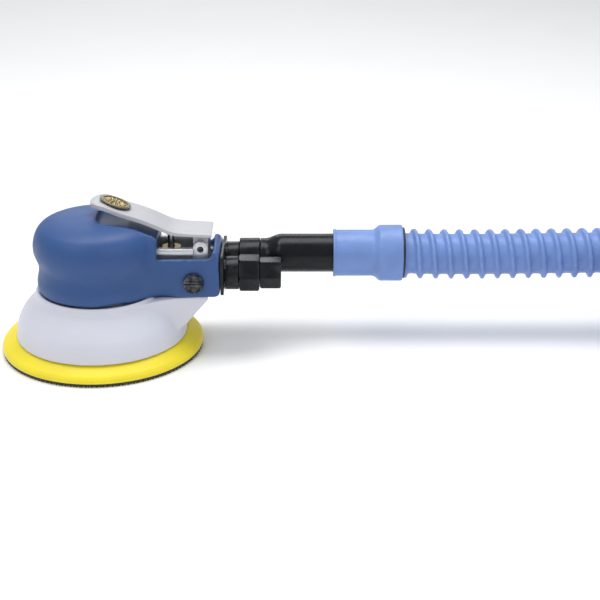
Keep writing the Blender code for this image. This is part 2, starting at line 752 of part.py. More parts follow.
def build_throttle():
    at = (THROTTLE_X, 0, 0)
    bushing = mm([(2.3, 67), (6.2, 67), (6.2, 64), (4.7, 64), (4.7, 57), (2.3, 57)])
    turned("valve_bushing", bushing, "bronze", at=at, steps=20)
    cap = [(0, 77.6), (3.2, 77.6), (3.2, 75.2), (2, 75.2)]
    stem = mm(cap + [(2, 54.6), (4.2, 54.6), (4.2, 52.6), (0, 52.6)])
    turned("throttle_stem", stem, "satin_steel", axis=THROTTLE_AXIS, at=at, steps=20)
    ring(
        "throttle_seal", 2.3 * MM, 4.2 * MM, 54.9 * MM, 56.7 * MM, "black_rubber", axis=THROTTLE_AXIS, at=at,
        steps=20,
    )

    wire, mean_r, turns, per_turn = 0.45 * MM, 3.2 * MM, 4, 10
    bottom, top = 45.5 * MM, 51.8 * MM
    coil = []
    for i in range(turns * per_turn + 1):
        share = i / (turns * per_turn)
        angle = 2 * math.pi * turns * share
        height = bottom + (top - bottom) * share
        coil.append((THROTTLE_X + mean_r * math.cos(angle), mean_r * math.sin(angle), height))
    tube_along("throttle_spring", coil, wire, "satin_steel", MOTOR_AXIS, resolution=0)


def build_regulator():
    at = (REGULATOR_X, 0, REGULATOR_Z)
    spool = mm(
        [
            (0, 9), (4.5, 9), (4.5, -6), (3.2, -6), (3.2, -8), (4.5, -8), (4.5, -10.5), (3.5, -10.5),
            (3.5, -12.5), (4.5, -12.5), (4.5, -17.9),
        ]
    )
    knob_face = -20.2 * MM
    knob = [(KNOB_R, -17.9 * MM), (KNOB_R, -19.6 * MM), (KNOB_R - 0.7 * MM, knob_face), (0, knob_face)]
    valve = turned(
        "regulator_valve", spool + knob, "black_plastic", axis=REGULATOR_AXIS, along="Y", at=at, steps=16
    )
    through = dict(axis=REGULATOR_AXIS, along="X", at=(0, 0, REGULATOR_Z), steps=12)
    flow = rod("regulator_flow_hole", 3.0 * MM, 50 * MM, 70 * MM, **through)
    slot_half, slot_length = 0.5 * MM, 4.7 * MM
    slot_low = (REGULATOR_X - slot_length, knob_face - MM, REGULATOR_Z - slot_half)
    slot_high = (REGULATOR_X + slot_length, knob_face + 0.9 * MM, REGULATOR_Z + slot_half)
    slot = box("regulator_slot", slot_low, slot_high, axis=REGULATOR_AXIS)
    cut(valve, flow, slot)
    ring(
        "regulator_o_ring", 3.8 * MM, 4.6 * MM, -12.2 * MM, -10.8 * MM, "black_rubber",
        axis=REGULATOR_AXIS, along="Y", at=at, steps=20,
    )
    rod("regulator_stop_pin", 0.8 * MM, 43.2 * MM, 54.7 * MM, "satin_steel", at=point(63.5, -7, 0), steps=8)


def build_lever():
    top = mm(
        [
            (-3.5, 96.2), (0, 96.7), (4, 96.5), (8, 95.6), (16, 92.3), (24, 89.7), (30.5, 87.4), (37.3, 84.5),
            (44.5, 81.0), (49, 79.6), (54, 78.7), (60, 78.1), (70.3, 77.5),
        ]
    )
    under = [(x, z - LEVER_THICKNESS) for x, z in reversed(top)]
    lever = outline("lever", top + under, -LEVER_HALF_WIDTH, LEVER_HALF_WIDTH, "satin_steel", axis=LEVER_AXIS)
    tip_r = LEVER_HALF_WIDTH
    plan = [(80 * MM, -tip_r), (80 * MM, tip_r)]
    plan += [(x * 0.75 + LEVER_TIP + 0.75 * tip_r, y) for x, y in arc((0, 0), tip_r, 90, 270, 13)]
    shape = outline("lever_plan", plan, 60 * MM, 110 * MM, axis=LEVER_AXIS, plane="XY")
    combine(lever, shape, operation="INTERSECT")
    ear_r = LUG_R - 0.4 * MM
    ear = arc((PIVOT.x, PIVOT.z), ear_r, 180, 360, 9)
    ear += [(PIVOT.x + ear_r, 76.9 * MM), (PIVOT.x - ear_r, 77.4 * MM)]
    ear_outer = LUG_SIDES[0] - GAP
    for name, side in HANDLE_SIDES:
        near, far = sorted((side * (ear_outer - 1.8 * MM), side * ear_outer))
        join(lever, outline(f"{name}_ear", ear, near, far, axis=LEVER_AXIS))
    pin = dict(along="Y", at=(PIVOT.x, 0, PIVOT.z), steps=12)
    cut(lever, rod("ear_holes", 2.0 * MM, -20 * MM, 20 * MM, axis=LEVER_AXIS, **pin))
    pin_reach = LUG_SIDES[1] + GAP
    rod("lever_pin", 1.7 * MM, -pin_reach, pin_reach, "dark_steel", **pin)

    badge = rod("lever_badge", 9.0 * MM, -0.4 * MM, 0.4 * MM, "gold", axis=LEVER_AXIS, steps=24)
    badge.scale = (1.08, 0.92, 1)
    badge.rotation_euler = (0, math.radians(19.5), 0)
    badge.location = point(12.3, 0, 95.1)


# Vacuum line


def build_vacuum_line():
    front = REAR_PLATE[1] + GAP
    at = (0, OUTLET_Y, OUTLET_Z)
    neck = [
        (8.0 * MM, front),
        (9.5 * MM, front),
        (9.5 * MM, NECK_END - 0.8 * MM),
        (9.0 * MM, NECK_END - 0.8 * MM),
        (9.0 * MM, 98.4 * MM),
        (8.0 * MM, 98.4 * MM),
    ]
    turned("vacuum_neck", neck, "black_plastic", along="X", at=at, steps=20)
    collar = dict(bottom=NECK_END - 0.5 * MM, top=98.4 * MM, along="X", at=at, steps=20)
    ring("vacuum_collar", 9.3 * MM, 11.8 * MM, finish="black_plastic", **collar)

    small = (OUTLET_Y, OUTLET_Z, 11.0 * MM, 8.0 * MM)
    large = (TUBE_Y, TUBE_Z, TUBE_R, 10.3 * MM)
    stations = [(98.7 * MM, *small), (103.5 * MM, *small), (108.5 * MM, *large), (TUBE_END, *large)]
    lofted_tube("vacuum_tube", stations, "black_plastic")

    start, end = CUFF
    cuff = [
        (12.4 * MM, start),
        (14.7 * MM, start),
        (14.7 * MM, 173.5 * MM),
        (END_CUFF_R, 176.7 * MM),
        (END_CUFF_R, end),
        (13.0 * MM, end),
        (13.0 * MM, TUBE_END + MM),
        (12.4 * MM, TUBE_END + MM),
    ]
    turned("hose_cuff", cuff, "hose_blue", along="X", at=(0, TUBE_Y, TUBE_Z), steps=20)


def build_hose():
    """Straight run from the cuff, then a coil of two levels with the end cuff inside it and a strap."""
    hose_y = TUBE_Y - ORBIT_OFFSET
    route = mm([(191.5, 52.7), (205, 52.7), (235, 53.5), (270, 54.6), (315, 55.0), (350, 54.4), (377, 53.4)])
    tube_along("vacuum_hose", [(x, hose_y, z) for x, z in route], HOSE_R, "hose_blue", resolution=3)

    coil_y = hose_y - COIL_R
    half, bottom, top = HOSE_R, COIL_LIFT, COIL_LIFT + 4 * HOSE_R
    corner = 0.6 * HOSE_R
    outer, inner = COIL_R + half, COIL_R - half
    section = [
        (inner + corner, top), (outer - corner, top), (outer, top - corner), (outer, bottom + corner),
        (outer - corner, bottom), (inner + corner, bottom), (inner, bottom + corner), (inner, top - corner),
    ]
    turned("hose_coil", section, "hose_blue", axis=None, at=(COIL_X, coil_y, 0), steps=36)

    end_cuff = [
        (13.0 * MM, 0),
        (END_CUFF_R, 0),
        (END_CUFF_R, 15 * MM),
        (14.7 * MM, 18 * MM),
        (14.7 * MM, END_CUFF_LENGTH),
        (12.4 * MM, END_CUFF_LENGTH),
        (12.4 * MM, 20 * MM),
        (13.0 * MM, 20 * MM),
    ]
    inset = COIL_R - TAIL_R
    cuff_x = COIL_X + inset * math.cos(TAIL_START) + TAIL_R * math.cos(TAIL_END)
    cuff_y = coil_y + inset * math.sin(TAIL_START) + TAIL_R * math.sin(TAIL_END)
    cuff = turned(
        "hose_end_cuff", end_cuff, "hose_blue", axis=None, at=(cuff_x, cuff_y, END_CUFF_R), steps=18,
    )
    cuff.rotation_euler = (0, math.pi / 2, TAIL_END - math.pi / 2)

    reach = outer + STRAP_CLEARANCE + STRAP_THICKNESS
    near = inner - STRAP_CLEARANCE - STRAP_THICKNESS
    width = STRAP_WIDTH / 2
    strap_top = top + GAP + STRAP_THICKNESS
    strap = box("hose_strap", (near, -width, 0), (reach, width, strap_top), "black_rubber", axis=None)
    strap.location = (COIL_X, coil_y, 0)
    hole_low = (near + STRAP_THICKNESS, -20 * MM, STRAP_THICKNESS)
    hole = box("strap_space", hole_low, (reach - STRAP_THICKNESS, 20 * MM, top + GAP), axis=None)
    hole.location = (COIL_X, coil_y, 0)
    cut(strap, hole)


build_pad()
build_spindle()
build_motor()
build_housing()
build_cover()
build_shroud()
build_rear_plate()
build_inlet()
build_throttle()
build_regulator()
build_lever()
build_vacuum_line()
build_hose()
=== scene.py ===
"""Looks of the palm-grip orbital sander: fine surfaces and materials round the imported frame.

The frame's own axes, +Z up. Shapes are drawn in millimetres about the motor's axis, the pad's about its own,
and the helpers turn them into metres and set them on that axis. The hose's route and its strap are in metres
in the frame.
"""

import json
import math

import bmesh
import bpy
import numpy as np
from mathutils import Matrix, Vector


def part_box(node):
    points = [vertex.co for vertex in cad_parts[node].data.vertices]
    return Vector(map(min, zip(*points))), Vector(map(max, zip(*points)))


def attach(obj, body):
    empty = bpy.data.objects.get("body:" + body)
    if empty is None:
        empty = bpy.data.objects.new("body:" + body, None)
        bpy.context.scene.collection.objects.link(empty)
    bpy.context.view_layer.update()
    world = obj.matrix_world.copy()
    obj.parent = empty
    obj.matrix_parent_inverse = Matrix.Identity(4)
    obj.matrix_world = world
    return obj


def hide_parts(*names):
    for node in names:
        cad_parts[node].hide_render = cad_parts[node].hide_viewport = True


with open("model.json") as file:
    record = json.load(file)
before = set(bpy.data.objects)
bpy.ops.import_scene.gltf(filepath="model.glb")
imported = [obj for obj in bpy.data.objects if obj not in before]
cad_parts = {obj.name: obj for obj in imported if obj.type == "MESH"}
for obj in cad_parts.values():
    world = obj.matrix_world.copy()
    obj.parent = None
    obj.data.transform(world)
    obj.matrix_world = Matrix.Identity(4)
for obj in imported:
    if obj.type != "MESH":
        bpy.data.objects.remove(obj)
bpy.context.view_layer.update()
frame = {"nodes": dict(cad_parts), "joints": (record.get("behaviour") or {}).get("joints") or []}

MM = 0.001
JOINTS = {joint["name"]: joint for joint in frame["joints"]}
MOTOR_Y = JOINTS["motor_spin"]["pos_m"][1]
MOTOR_AXIS = Vector((0, MOTOR_Y, 0))
PAD_AXIS = Vector((0, 0, 0))

# Camera
CAMERA_PITCH = math.radians(23.2)
CAMERA_AIM = Vector((0.1236, 0, 0.0298))
CAMERA_DISTANCE = 0.8513
CAMERA_LENS = 81.96

# Handle and what it holds, in millimetres about the motor's axis
HANDLE_HALF_WIDTH = 17.5
HANDLE_END = 75
ARM_HALF_WIDTH = 14.6
LUG_R = 4.8
LUG_INNER = 8.8
LUG_OUTER = 12.2
THROTTLE_AT = (45, 0, 0)
PLATE_SCREWS = {"near": (0, -11, 59), "far": (0, 11, 59)}
PLATE_SCREW_R = 1.9
PIN_R = 2.0

# Pad, in millimetres
DUST_HOLES = 5
DUST_HOLE_R = 5.0
DUST_RING_R = 35.0
HOOK_PITCH = 2.1
HOOK_FIELD_R = 60.9
RIM_HOOKS = 340

# Hose, in metres in the frame
HOSE_R = 0.0157  # over the rib
HOSE_WALL_R = 0.0129
HOSE_PITCH = 0.0097
RIB_SHARE = 0.44  # of the pitch
RIB_PHASE = 0.24  # of a turn, so that the ribs near the cuff lie as in the photo
HOSE_Y = 0.0225
END_CUFF_R = 0.0177
COIL_X = 0.478
COIL_R = 0.157
COIL_LIFT = 0.0013
TAIL_R = 0.128
TAIL_START = math.radians(-9.8)
TAIL_END = math.radians(-121.7)


# Scene, camera and light


def add_camera():
    data = bpy.data.cameras.new("camera")
    data.lens = CAMERA_LENS
    data.clip_start = 0.01
    camera = bpy.data.objects.new("camera", data)
    bpy.context.scene.collection.objects.link(camera)
    back = Vector((0, -math.cos(CAMERA_PITCH), math.sin(CAMERA_PITCH)))
    camera.location = CAMERA_AIM + CAMERA_DISTANCE * back
    camera.rotation_euler = (math.pi / 2 - CAMERA_PITCH, 0, 0)
    bpy.context.scene.camera = camera


def add_light(name, place, aim, size, power):
    data = bpy.data.lights.new(name, "AREA")
    data.shape = "RECTANGLE"
    data.size, data.size_y = size
    data.energy = power
    light = bpy.data.objects.new(name, data)
    bpy.context.scene.collection.objects.link(light)
    light.location = place
    light.rotation_euler = (Vector(aim) - Vector(place)).to_track_quat("-Z", "Y").to_euler()


def add_studio():
    scene = bpy.context.scene
    scene.view_settings.view_transform = "Standard"
    world = bpy.data.worlds.new("studio")
    world.use_nodes = True
    sky = world.node_tree.nodes["Background"]
    sky.inputs["Color"].default_value = (0.96, 0.98, 1.0, 1)
    sky.inputs["Strength"].default_value = 0.48
    scene.world = world
    add_light("top_softbox", (0.05, 0.16, 1.1), (0.1, 0.03, 0), (1.3, 0.6), 11)
    add_light("back_softbox", (-0.15, 1.7, 0.85), (0.1, 0.1, 0), (0.8, 0.5), 2.6)
    add_light("key_softbox", (-0.75, -0.85, 1.15), (0.05, 0, 0.03), (0.8, 0.8), 3.0)
    add_light("fill_softbox", (0.9, -1.0, 0.8), (0.15, 0, 0.03), (0.9, 0.7), 3.0)


# Shapes


def new_object(name, mesh, axis=MOTOR_AXIS, at=(0, 0, 0)):
    obj = bpy.data.objects.new(name, mesh)
    bpy.context.scene.collection.objects.link(obj)
    obj.location = axis + Vector(at) * MM
    return obj


def mesh_of(name, points, faces):
    mesh = bpy.data.meshes.new(name)
    mesh.from_pydata([tuple(p) for p in points], [], [tuple(f) for f in faces])
    mesh.validate()
    return mesh


def settle(obj):
    """Applies the object's modifiers and keeps its place."""
    bpy.context.view_layer.update()
    graph = bpy.context.evaluated_depsgraph_get()
    mesh = bpy.data.meshes.new_from_object(obj.evaluated_get(graph))
    obj.modifiers.clear()
    old, obj.data = obj.data, mesh
    bpy.data.meshes.remove(old)
    return obj


def spline(points, steps=6):
    """A smooth line through the points."""
    line = [np.array(p, float) for p in points]
    line = [2 * line[0] - line[1], *line, 2 * line[-1] - line[-2]]
    smooth = []
    for a, b, c, d in zip(line, line[1:], line[2:], line[3:]):
        for t in np.arange(steps) / steps:
            bend = (2 * a - 5 * b + 4 * c - d) * t * t + (3 * b - a - 3 * c + d) * t**3
            smooth.append(0.5 * (2 * b + (c - a) * t + bend))
    return [*smooth, line[-2]]


def arc(centre, radius, start, end, count):
    """Points on a circle in the XZ plane, between two angles in radians."""
    angles = np.linspace(start, end, count)
    return [(centre.x + radius * math.cos(a), centre.z + radius * math.sin(a)) for a in angles]


def rounded(points, radius, steps=4):
    """A closed outline whose corners are arcs. A point's third number is its own radius."""
    outline = []
    for i, point in enumerate(points):
        corner = Vector(point[:2])
        before = Vector(points[i - 1][:2]) - corner
        after = Vector(points[(i + 1) % len(points)][:2]) - corner
        reach = point[2] if len(point) > 2 else radius
        half = before.angle(after) / 2
        if reach == 0 or half > 1.5:
            outline.append(tuple(corner))
            continue
        setback = min(reach / math.tan(half), 0.49 * before.length, 0.49 * after.length)
        start, end = corner + before.normalized() * setback, corner + after.normalized() * setback
        for t in np.arange(steps + 1) / steps:
            outline.append(tuple(start * (1 - t) ** 2 + corner * 2 * t * (1 - t) + end * t * t))
    return outline


def turn_to(obj, direction):
    """Points the object's own Z along an axis of the frame."""
    if direction == "X":
        obj.rotation_euler = (0, math.pi / 2, 0)
    elif direction == "Y":
        obj.rotation_euler = (-math.pi / 2, 0, 0)


def turned(name, profile, steps=64, along="Z", at=(0, 0, 0), axis=MOTOR_AXIS):
    """A turned piece from (radius, height) points. A profile that stays off the axis is closed."""
    profile = [(float(r), float(h)) for r, h in profile]
    area = sum(a[0] * b[1] - b[0] * a[1] for a, b in zip(profile, profile[1:] + profile[:1]))
    points = profile[::-1] if area > 0 else profile
    edges = [(i, i + 1) for i in range(len(points) - 1)]
    if min(r for r, _ in points) > 0:
        edges.append((len(points) - 1, 0))
    else:
        while points[0][0] > 0 or points[-1][0] > 0:
            points.append(points.pop(0))
    mesh = bpy.data.meshes.new(name)
    mesh.from_pydata([(r * MM, 0, h * MM) for r, h in points], edges, [])
    obj = new_object(name, mesh, axis, at)
    turn_to(obj, along)
    screw = obj.modifiers.new("Turn", "SCREW")
    screw.steps = steps
    screw.render_steps = steps
    screw.use_merge_vertices = True
    screw.merge_threshold = 0.000001
    return settle(obj)


def rod(name, radius, bottom, top, steps=32, **options):
    """A plain round bar, as a piece or as a cutter."""
    return turned(name, [(0, top), (radius, top), (radius, bottom), (0, bottom)], steps, **options)


def bevel(obj, width, segments=3, angle=32):
    """Rounds the edges that are sharper than the angle, by a width in millimetres."""
    rounding = obj.modifiers.new("Round", "BEVEL")
    rounding.width = width * MM
    rounding.segments = segments
    rounding.limit_method = "ANGLE"
    rounding.angle_limit = math.radians(angle)
    return settle(obj)


def box(name, low, high, round_by=0.0, segments=3):
    """A block between two corners, with its edges rounded if asked."""
    low, high = Vector(low) * MM, Vector(high) * MM
    shape = bmesh.new()
    bmesh.ops.create_cube(shape, size=1)
    bmesh.ops.scale(shape, vec=high - low, verts=shape.verts)
    bmesh.ops.translate(shape, vec=(low + high) / 2, verts=shape.verts)
    mesh = bpy.data.meshes.new(name)
    shape.to_mesh(mesh)
    shape.free()
    obj = new_object(name, mesh)
    return bevel(obj, round_by, segments) if round_by else obj


def slab(name, points, low, high, plane="XZ", axis=MOTOR_AXIS):
    """An outline made solid between low and high on the axis that it faces."""
    to_3d = {
        "XZ": lambda a, b, depth: (a, depth, b),
        "YZ": lambda a, b, depth: (depth, a, b),
        "XY": lambda a, b, depth: (a, b, depth),
    }[plane]
    count = len(points)
    verts = [Vector(to_3d(a, b, depth)) * MM for depth in (low, high) for a, b in points]
    faces = [tuple(range(count)), tuple(range(2 * count - 1, count - 1, -1))]
    faces += [(i, i + count, (i + 1) % count + count, (i + 1) % count) for i in range(count)]
    obj = new_object(name, mesh_of(name, verts, faces), axis)
    shape = bmesh.new()
    shape.from_mesh(obj.data)
    bmesh.ops.recalc_face_normals(shape, faces=shape.faces)
    shape.to_mesh(obj.data)
    shape.free()
    return obj


def loft(name, rings, axis=MOTOR_AXIS, closed_ends=True):
    """A skin over rings of equally many points, in metres."""
    sides = len(rings[0])
    points = np.concatenate(rings)
    faces = []
    for i in range(len(rings) - 1):
        for j in range(sides):
            a, b = i * sides + j, i * sides + (j + 1) % sides
            faces.append((a, b, b + sides, a + sides))
    if closed_ends:
        last = (len(rings) - 1) * sides
        faces.append(tuple(range(sides - 1, -1, -1)))
        faces.append(tuple(range(last, last + sides)))
    return new_object(name, mesh_of(name, points, faces), axis)


def weld(obj):
    """Joins points that lie on each other, and turns every face outwards."""
    shape = bmesh.new()
    shape.from_mesh(obj.data)
    bmesh.ops.remove_doubles(shape, verts=shape.verts, dist=1e-6)
    bmesh.ops.recalc_face_normals(shape, faces=shape.faces)
    shape.to_mesh(obj.data)
    shape.free()


def combine(obj, operation, others):
    """Adds, cuts or intersects the others with the object, and uses them up."""
    for other in others:
        change = obj.modifiers.new(other.name, "BOOLEAN")
        change.operation = operation
        change.solver = "EXACT"
        change.object = other
        settle(obj)
        bpy.data.objects.remove(other)
    return obj


def cut(obj, *cutters):
    return combine(obj, "DIFFERENCE", cutters)


def join(obj, *shapes):
    return combine(obj, "UNION", shapes)


def fuse(obj, shapes, voxel):
    """One even skin round overlapping shapes."""
    shape = bmesh.new()
    shape.from_mesh(obj.data)
    for other in shapes:
        shape.from_mesh(other.data)
        bpy.data.objects.remove(other)
    shape.to_mesh(obj.data)
    shape.free()
    remesh = obj.modifiers.new("Skin", "REMESH")
    remesh.mode = "VOXEL"
    remesh.voxel_size = voxel * MM
    return settle(obj)


def soften(obj, rounds, weight=None, factor=0.5):
    """Smooths the mesh, by weight(x, y, z) of each point in millimetres from 0 to 1."""
    smooth = obj.modifiers.new("Soften", "SMOOTH")
    smooth.factor = factor
    smooth.iterations = rounds
    if weight:
        group = obj.vertex_groups.new(name="soft")
        points = np.zeros(len(obj.data.vertices) * 3)
        obj.data.vertices.foreach_get("co", points)
        shares = weight(*(points.reshape(-1, 3).T / MM))
        steps = 20
        for step in range(1, steps + 1):
            chosen = np.nonzero(np.round(shares * steps) == step)[0]
            group.add(chosen.tolist(), step / steps, "REPLACE")
        smooth.vertex_group = "soft"
    settle(obj)
    obj.vertex_groups.clear()
    return obj


def fade(value, start, end):
    """0 before start, 1 after end, and smooth between."""
    t = np.clip((value - start) / (end - start), 0, 1)
    return t * t * (3 - 2 * t)


def shade(obj, angle=35):
    """Smooth shading, with the edges sharper than the angle left crisp."""
    obj.data.shade_smooth()
    obj.data.set_sharp_from_angle(angle=math.radians(angle))


# Materials


def add_node(tree, kind, inputs, **settings):
    made = tree.nodes.new(kind)
    for name, value in settings.items():
        setattr(made, name, value)
    for name, value in inputs.items():
        if isinstance(value, bpy.types.NodeSocket):
            tree.links.new(value, made.inputs[name])
        else:
            made.inputs[name].default_value = value
    return made


def noise(tree, scale, detail=3.0, stretch=(1, 1, 1)):
    """A cloudy pattern from 0 to 1 that is fixed to the piece. Scale is in clouds per metre."""
    place = add_node(tree, "ShaderNodeTexCoord", {}).outputs["Object"]
    place = add_node(tree, "ShaderNodeMapping", {"Vector": place, "Scale": stretch}).outputs["Vector"]
    cloud = add_node(tree, "ShaderNodeTexNoise", {"Vector": place, "Scale": scale, "Detail": detail})
    return cloud.outputs["Fac"]


def cells(tree, scale, feature="F1"):
    place = add_node(tree, "ShaderNodeTexCoord", {}).outputs["Object"]
    made = add_node(tree, "ShaderNodeTexVoronoi", {"Vector": place, "Scale": scale}, feature=feature)
    return made.outputs["Distance"]


def level(tree, value, start, end, low=0.0, high=1.0):
    """Maps a value's range from start to end onto low to high."""
    inputs = {"Value": value, "From Min": start, "From Max": end, "To Min": low, "To Max": high}
    return add_node(tree, "ShaderNodeMapRange", inputs).outputs["Result"]


def mix(tree, share, first, second):
    """A colour between two others. Each input is a socket or a plain value."""
    made = add_node(tree, "ShaderNodeMix", {}, data_type="RGBA")
    for index, value in ((0, share), (6, first), (7, second)):
        if isinstance(value, bpy.types.NodeSocket):
            tree.links.new(value, made.inputs[index])
        elif index:
            made.inputs[index].default_value = (*value, 1)
        else:
            made.inputs[index].default_value = value
    return made.outputs[2]


def scaled(colour, factor):
    return tuple(min(1.0, channel * factor) for channel in colour)


def surface(
    name, colour, roughness, mottle=0.08, mottle_scale=45, grain=0.02, grain_scale=1800, stretch=(1, 1, 1),
    wear=0.0, hollow_shade=0.0, **values,
):
    """A material with clouded colour and gloss, a grain that many mm deep, pale edges and hollows darkened
    as painted shade.
    """
    material = bpy.data.materials.new(name)
    material.use_nodes = True
    tree = material.node_tree
    shader = tree.nodes["Principled BSDF"]
    for socket, value in values.items():
        shader.inputs[socket.replace("_", " ")].default_value = value
    clouds = level(tree, noise(tree, mottle_scale, 4.0), 0.3, 0.7)
    base = mix(tree, clouds, scaled(colour, 1 - mottle), scaled(colour, 1 + mottle))
    fine = noise(tree, grain_scale, 2.0, stretch)
    base = mix(tree, level(tree, fine, 0.35, 0.65, 0.0, 0.35), base, scaled(colour, 1 - 1.5 * mottle))
    bend = add_node(tree, "ShaderNodeNewGeometry", {}).outputs["Pointiness"]
    # Painted shade: hollows, found by the mesh's pointiness, darkened down to 0.35 of the colour
    if hollow_shade:
        base = mix(tree, level(tree, bend, 0.485, 0.44, 0.0, hollow_shade), base, scaled(colour, 0.35))
    if wear:
        scuffs = level(tree, noise(tree, 260, 5.0), 0.42, 0.6)
        edges = level(tree, bend, 0.515, 0.56, 0.0, wear)
        rubbed = add_node(tree, "ShaderNodeMath", {0: scuffs, 1: edges}, operation="MULTIPLY")
        base = mix(tree, rubbed.outputs[0], base, scaled([0.25 + c for c in colour], 1.1))
    tree.links.new(base, shader.inputs["Base Color"])
    gloss = level(tree, noise(tree, 3 * mottle_scale, 5.0), 0.3, 0.7, roughness - 0.07, roughness + 0.07)
    tree.links.new(gloss, shader.inputs["Roughness"])
    add_bump(material, fine, grain)
    return material


def add_bump(material, height, depth):
    """Adds a relief of that depth in millimetres to what the material has."""
    tree = material.node_tree
    shader = tree.nodes["Principled BSDF"]
    inputs = {"Height": height, "Distance": depth * MM, "Strength": 1.0}
    if shader.inputs["Normal"].is_linked:
        inputs["Normal"] = shader.inputs["Normal"].links[0].from_socket
    tree.links.new(add_node(tree, "ShaderNodeBump", inputs).outputs["Normal"], shader.inputs["Normal"])


def blue_grip():
    return surface(
        "blue_grip", (0.033, 0.088, 0.255), 0.46, mottle=0.05, mottle_scale=30, grain=0.018, wear=0.35,
        hollow_shade=0.25, Specular_IOR_Level=0.32, Coat_Weight=0.08, Coat_Roughness=0.4,
    )


def cast_aluminium():
    material = surface(
        "cast_aluminium", (0.60, 0.61, 0.63), 0.40, mottle=0.07, grain=0.05, grain_scale=900, wear=0.4,
        hollow_shade=0.6, Metallic=0.85,
    )
    add_bump(material, noise(material.node_tree, 350, 4.0), 0.06)
    return material


def satin_lever():
    return surface(
        "satin_lever", (0.49, 0.495, 0.525), 0.50, mottle=0.03, grain=0.008, grain_scale=700,
        stretch=(0.03, 1, 1), hollow_shade=0.3, Metallic=0.15,
    )


def bright_steel():
    return surface(
        "bright_steel", (0.62, 0.63, 0.65), 0.26, mottle=0.05, grain=0.006, grain_scale=900,
        stretch=(1, 1, 0.05), hollow_shade=0.4, Metallic=1.0,
    )


def dark_steel():
    return surface(
        "dark_steel", (0.030, 0.034, 0.042), 0.42, mottle=0.15, mottle_scale=120, grain=0.01, wear=0.3,
        Metallic=0.85,
    )


def bronze():
    return surface(
        "bronze", (0.26, 0.19, 0.10), 0.42, mottle=0.12, mottle_scale=150, grain=0.01, wear=0.3, hollow_shade=0.5,
        Metallic=1.0,
    )


def black_plastic():
    return surface(
        "black_plastic", (0.0036, 0.0046, 0.0070), 0.27, mottle=0.2, grain=0.012, wear=0.06,
        Specular_IOR_Level=0.26,
    )


def pale_shroud():
    return surface(
        "pale_shroud", (0.66, 0.67, 0.75), 0.44, mottle=0.025, mottle_scale=25, grain=0.012, hollow_shade=0.35,
        Subsurface_Weight=0.05, Subsurface_Scale=0.002,
    )


def yellow_pad():
    material = surface(
        "yellow_pad", (0.90, 0.74, 0.018), 0.52, mottle=0.05, mottle_scale=60, grain=0.02, grain_scale=1500,
        hollow_shade=0.3, Sheen_Weight=0.1, Sheen_Roughness=0.5,
    )
    pores = level(material.node_tree, cells(material.node_tree, 900), 0.05, 0.45)
    add_bump(material, pores, 0.05)
    return material


def hook_pile():
    return surface(
        "hook_pile", (0.035, 0.035, 0.03), 0.72, mottle=0.3, mottle_scale=300, grain=0.03, Sheen_Weight=0.2,
    )


def composite():
    material = surface(
        "composite", (0.15, 0.155, 0.13), 0.55, mottle=0.2, mottle_scale=200, grain=0.02, wear=0.3,
    )
    add_bump(material, cells(material.node_tree, 700), 0.03)
    return material


def hose_blue():
    material = surface(
        "hose_blue", (0.165, 0.275, 0.60), 0.42, mottle=0.08, mottle_scale=70, grain=0.02, grain_scale=1400,
        wear=0.12, hollow_shade=0.3, Subsurface_Weight=0.04, Subsurface_Scale=0.002,
    )
    add_bump(material, noise(material.node_tree, 260, 3.0), 0.25)
    return material


def badge_gold():
    return surface(
        "badge_gold", (0.46, 0.36, 0.17), 0.38, mottle=0.25, mottle_scale=300, grain=0.01, hollow_shade=0.5,
        Metallic=1.0,
    )


def badge_enamel():
    return surface(
        "badge_enamel", (0.050, 0.034, 0.018), 0.30, mottle=0.3, mottle_scale=400, grain=0.01,
        Coat_Weight=0.4,
    )


def black_rubber():
    return surface(
        "black_rubber", (0.016, 0.016, 0.017), 0.66, mottle=0.25, mottle_scale=150, grain=0.03, wear=0.1,
    )


def floor_paint():
    return surface("floor_paint", (0.93, 0.93, 0.93), 0.62, mottle=0.008, mottle_scale=6, grain=0.01)


SLOTS = (
    blue_grip, cast_aluminium, satin_lever, bright_steel, dark_steel, bronze, black_plastic, pale_shroud,
    yellow_pad, hook_pile, composite, hose_blue, badge_gold, black_rubber,
)
MATERIALS = {make.__name__: make() for make in SLOTS}


def dress(obj, slot, body="root", replaces=(), angle=35, material=None):
    """Gives a finished piece its shading, its slot's material and its body, and hides what it replaces."""
    shade(obj, angle)
    obj.data.materials.clear()
    obj.data.materials.append(material or MATERIALS[slot])
    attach(obj, body)
    if replaces:
        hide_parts(*replaces)
    return obj


# Places in the frame, in millimetres about the motor's axis


def span(node):
    """Lowest and highest corner of a CAD node."""
    low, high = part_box(node)
    return (low - MOTOR_AXIS) / MM, (high - MOTOR_AXIS) / MM


def centre_line(node):
    """Where the axis of a piece turned along X crosses X = 0."""
    low, high = span(node)
    return Vector((0, (low.y + high.y) / 2, (low.z + high.z) / 2))


def joint_place(name):
    """A joint's place on the middle plane of the handle."""
    place = (Vector(JOINTS[name]["pos_m"]) - MOTOR_AXIS) / MM
    return Vector((place.x, 0, place.z))


# Pad


def dust_hole_centres():
    """Middles of the dust holes, one of them at 36 degrees."""
    angles = [math.radians(36 + 360 * i / DUST_HOLES) for i in range(DUST_HOLES)]
    return [(DUST_RING_R * math.cos(angle), DUST_RING_R * math.sin(angle), 0) for angle in angles]


def dust_holes(name, bottom, top):
    """One cutter for the pad's ring of dust holes."""
    shape = bmesh.new()
    for number, centre in enumerate(dust_hole_centres()):
        hole = rod(f"{name}_{number}", DUST_HOLE_R, bottom, top, 32, axis=PAD_AXIS, at=centre)
        hole.data.transform(Matrix.Translation(hole.location))
        shape.from_mesh(hole.data)
        bpy.data.objects.remove(hole)
    mesh = bpy.data.meshes.new(name)
    shape.to_mesh(mesh)
    shape.free()
    return new_object(name, mesh, PAD_AXIS)


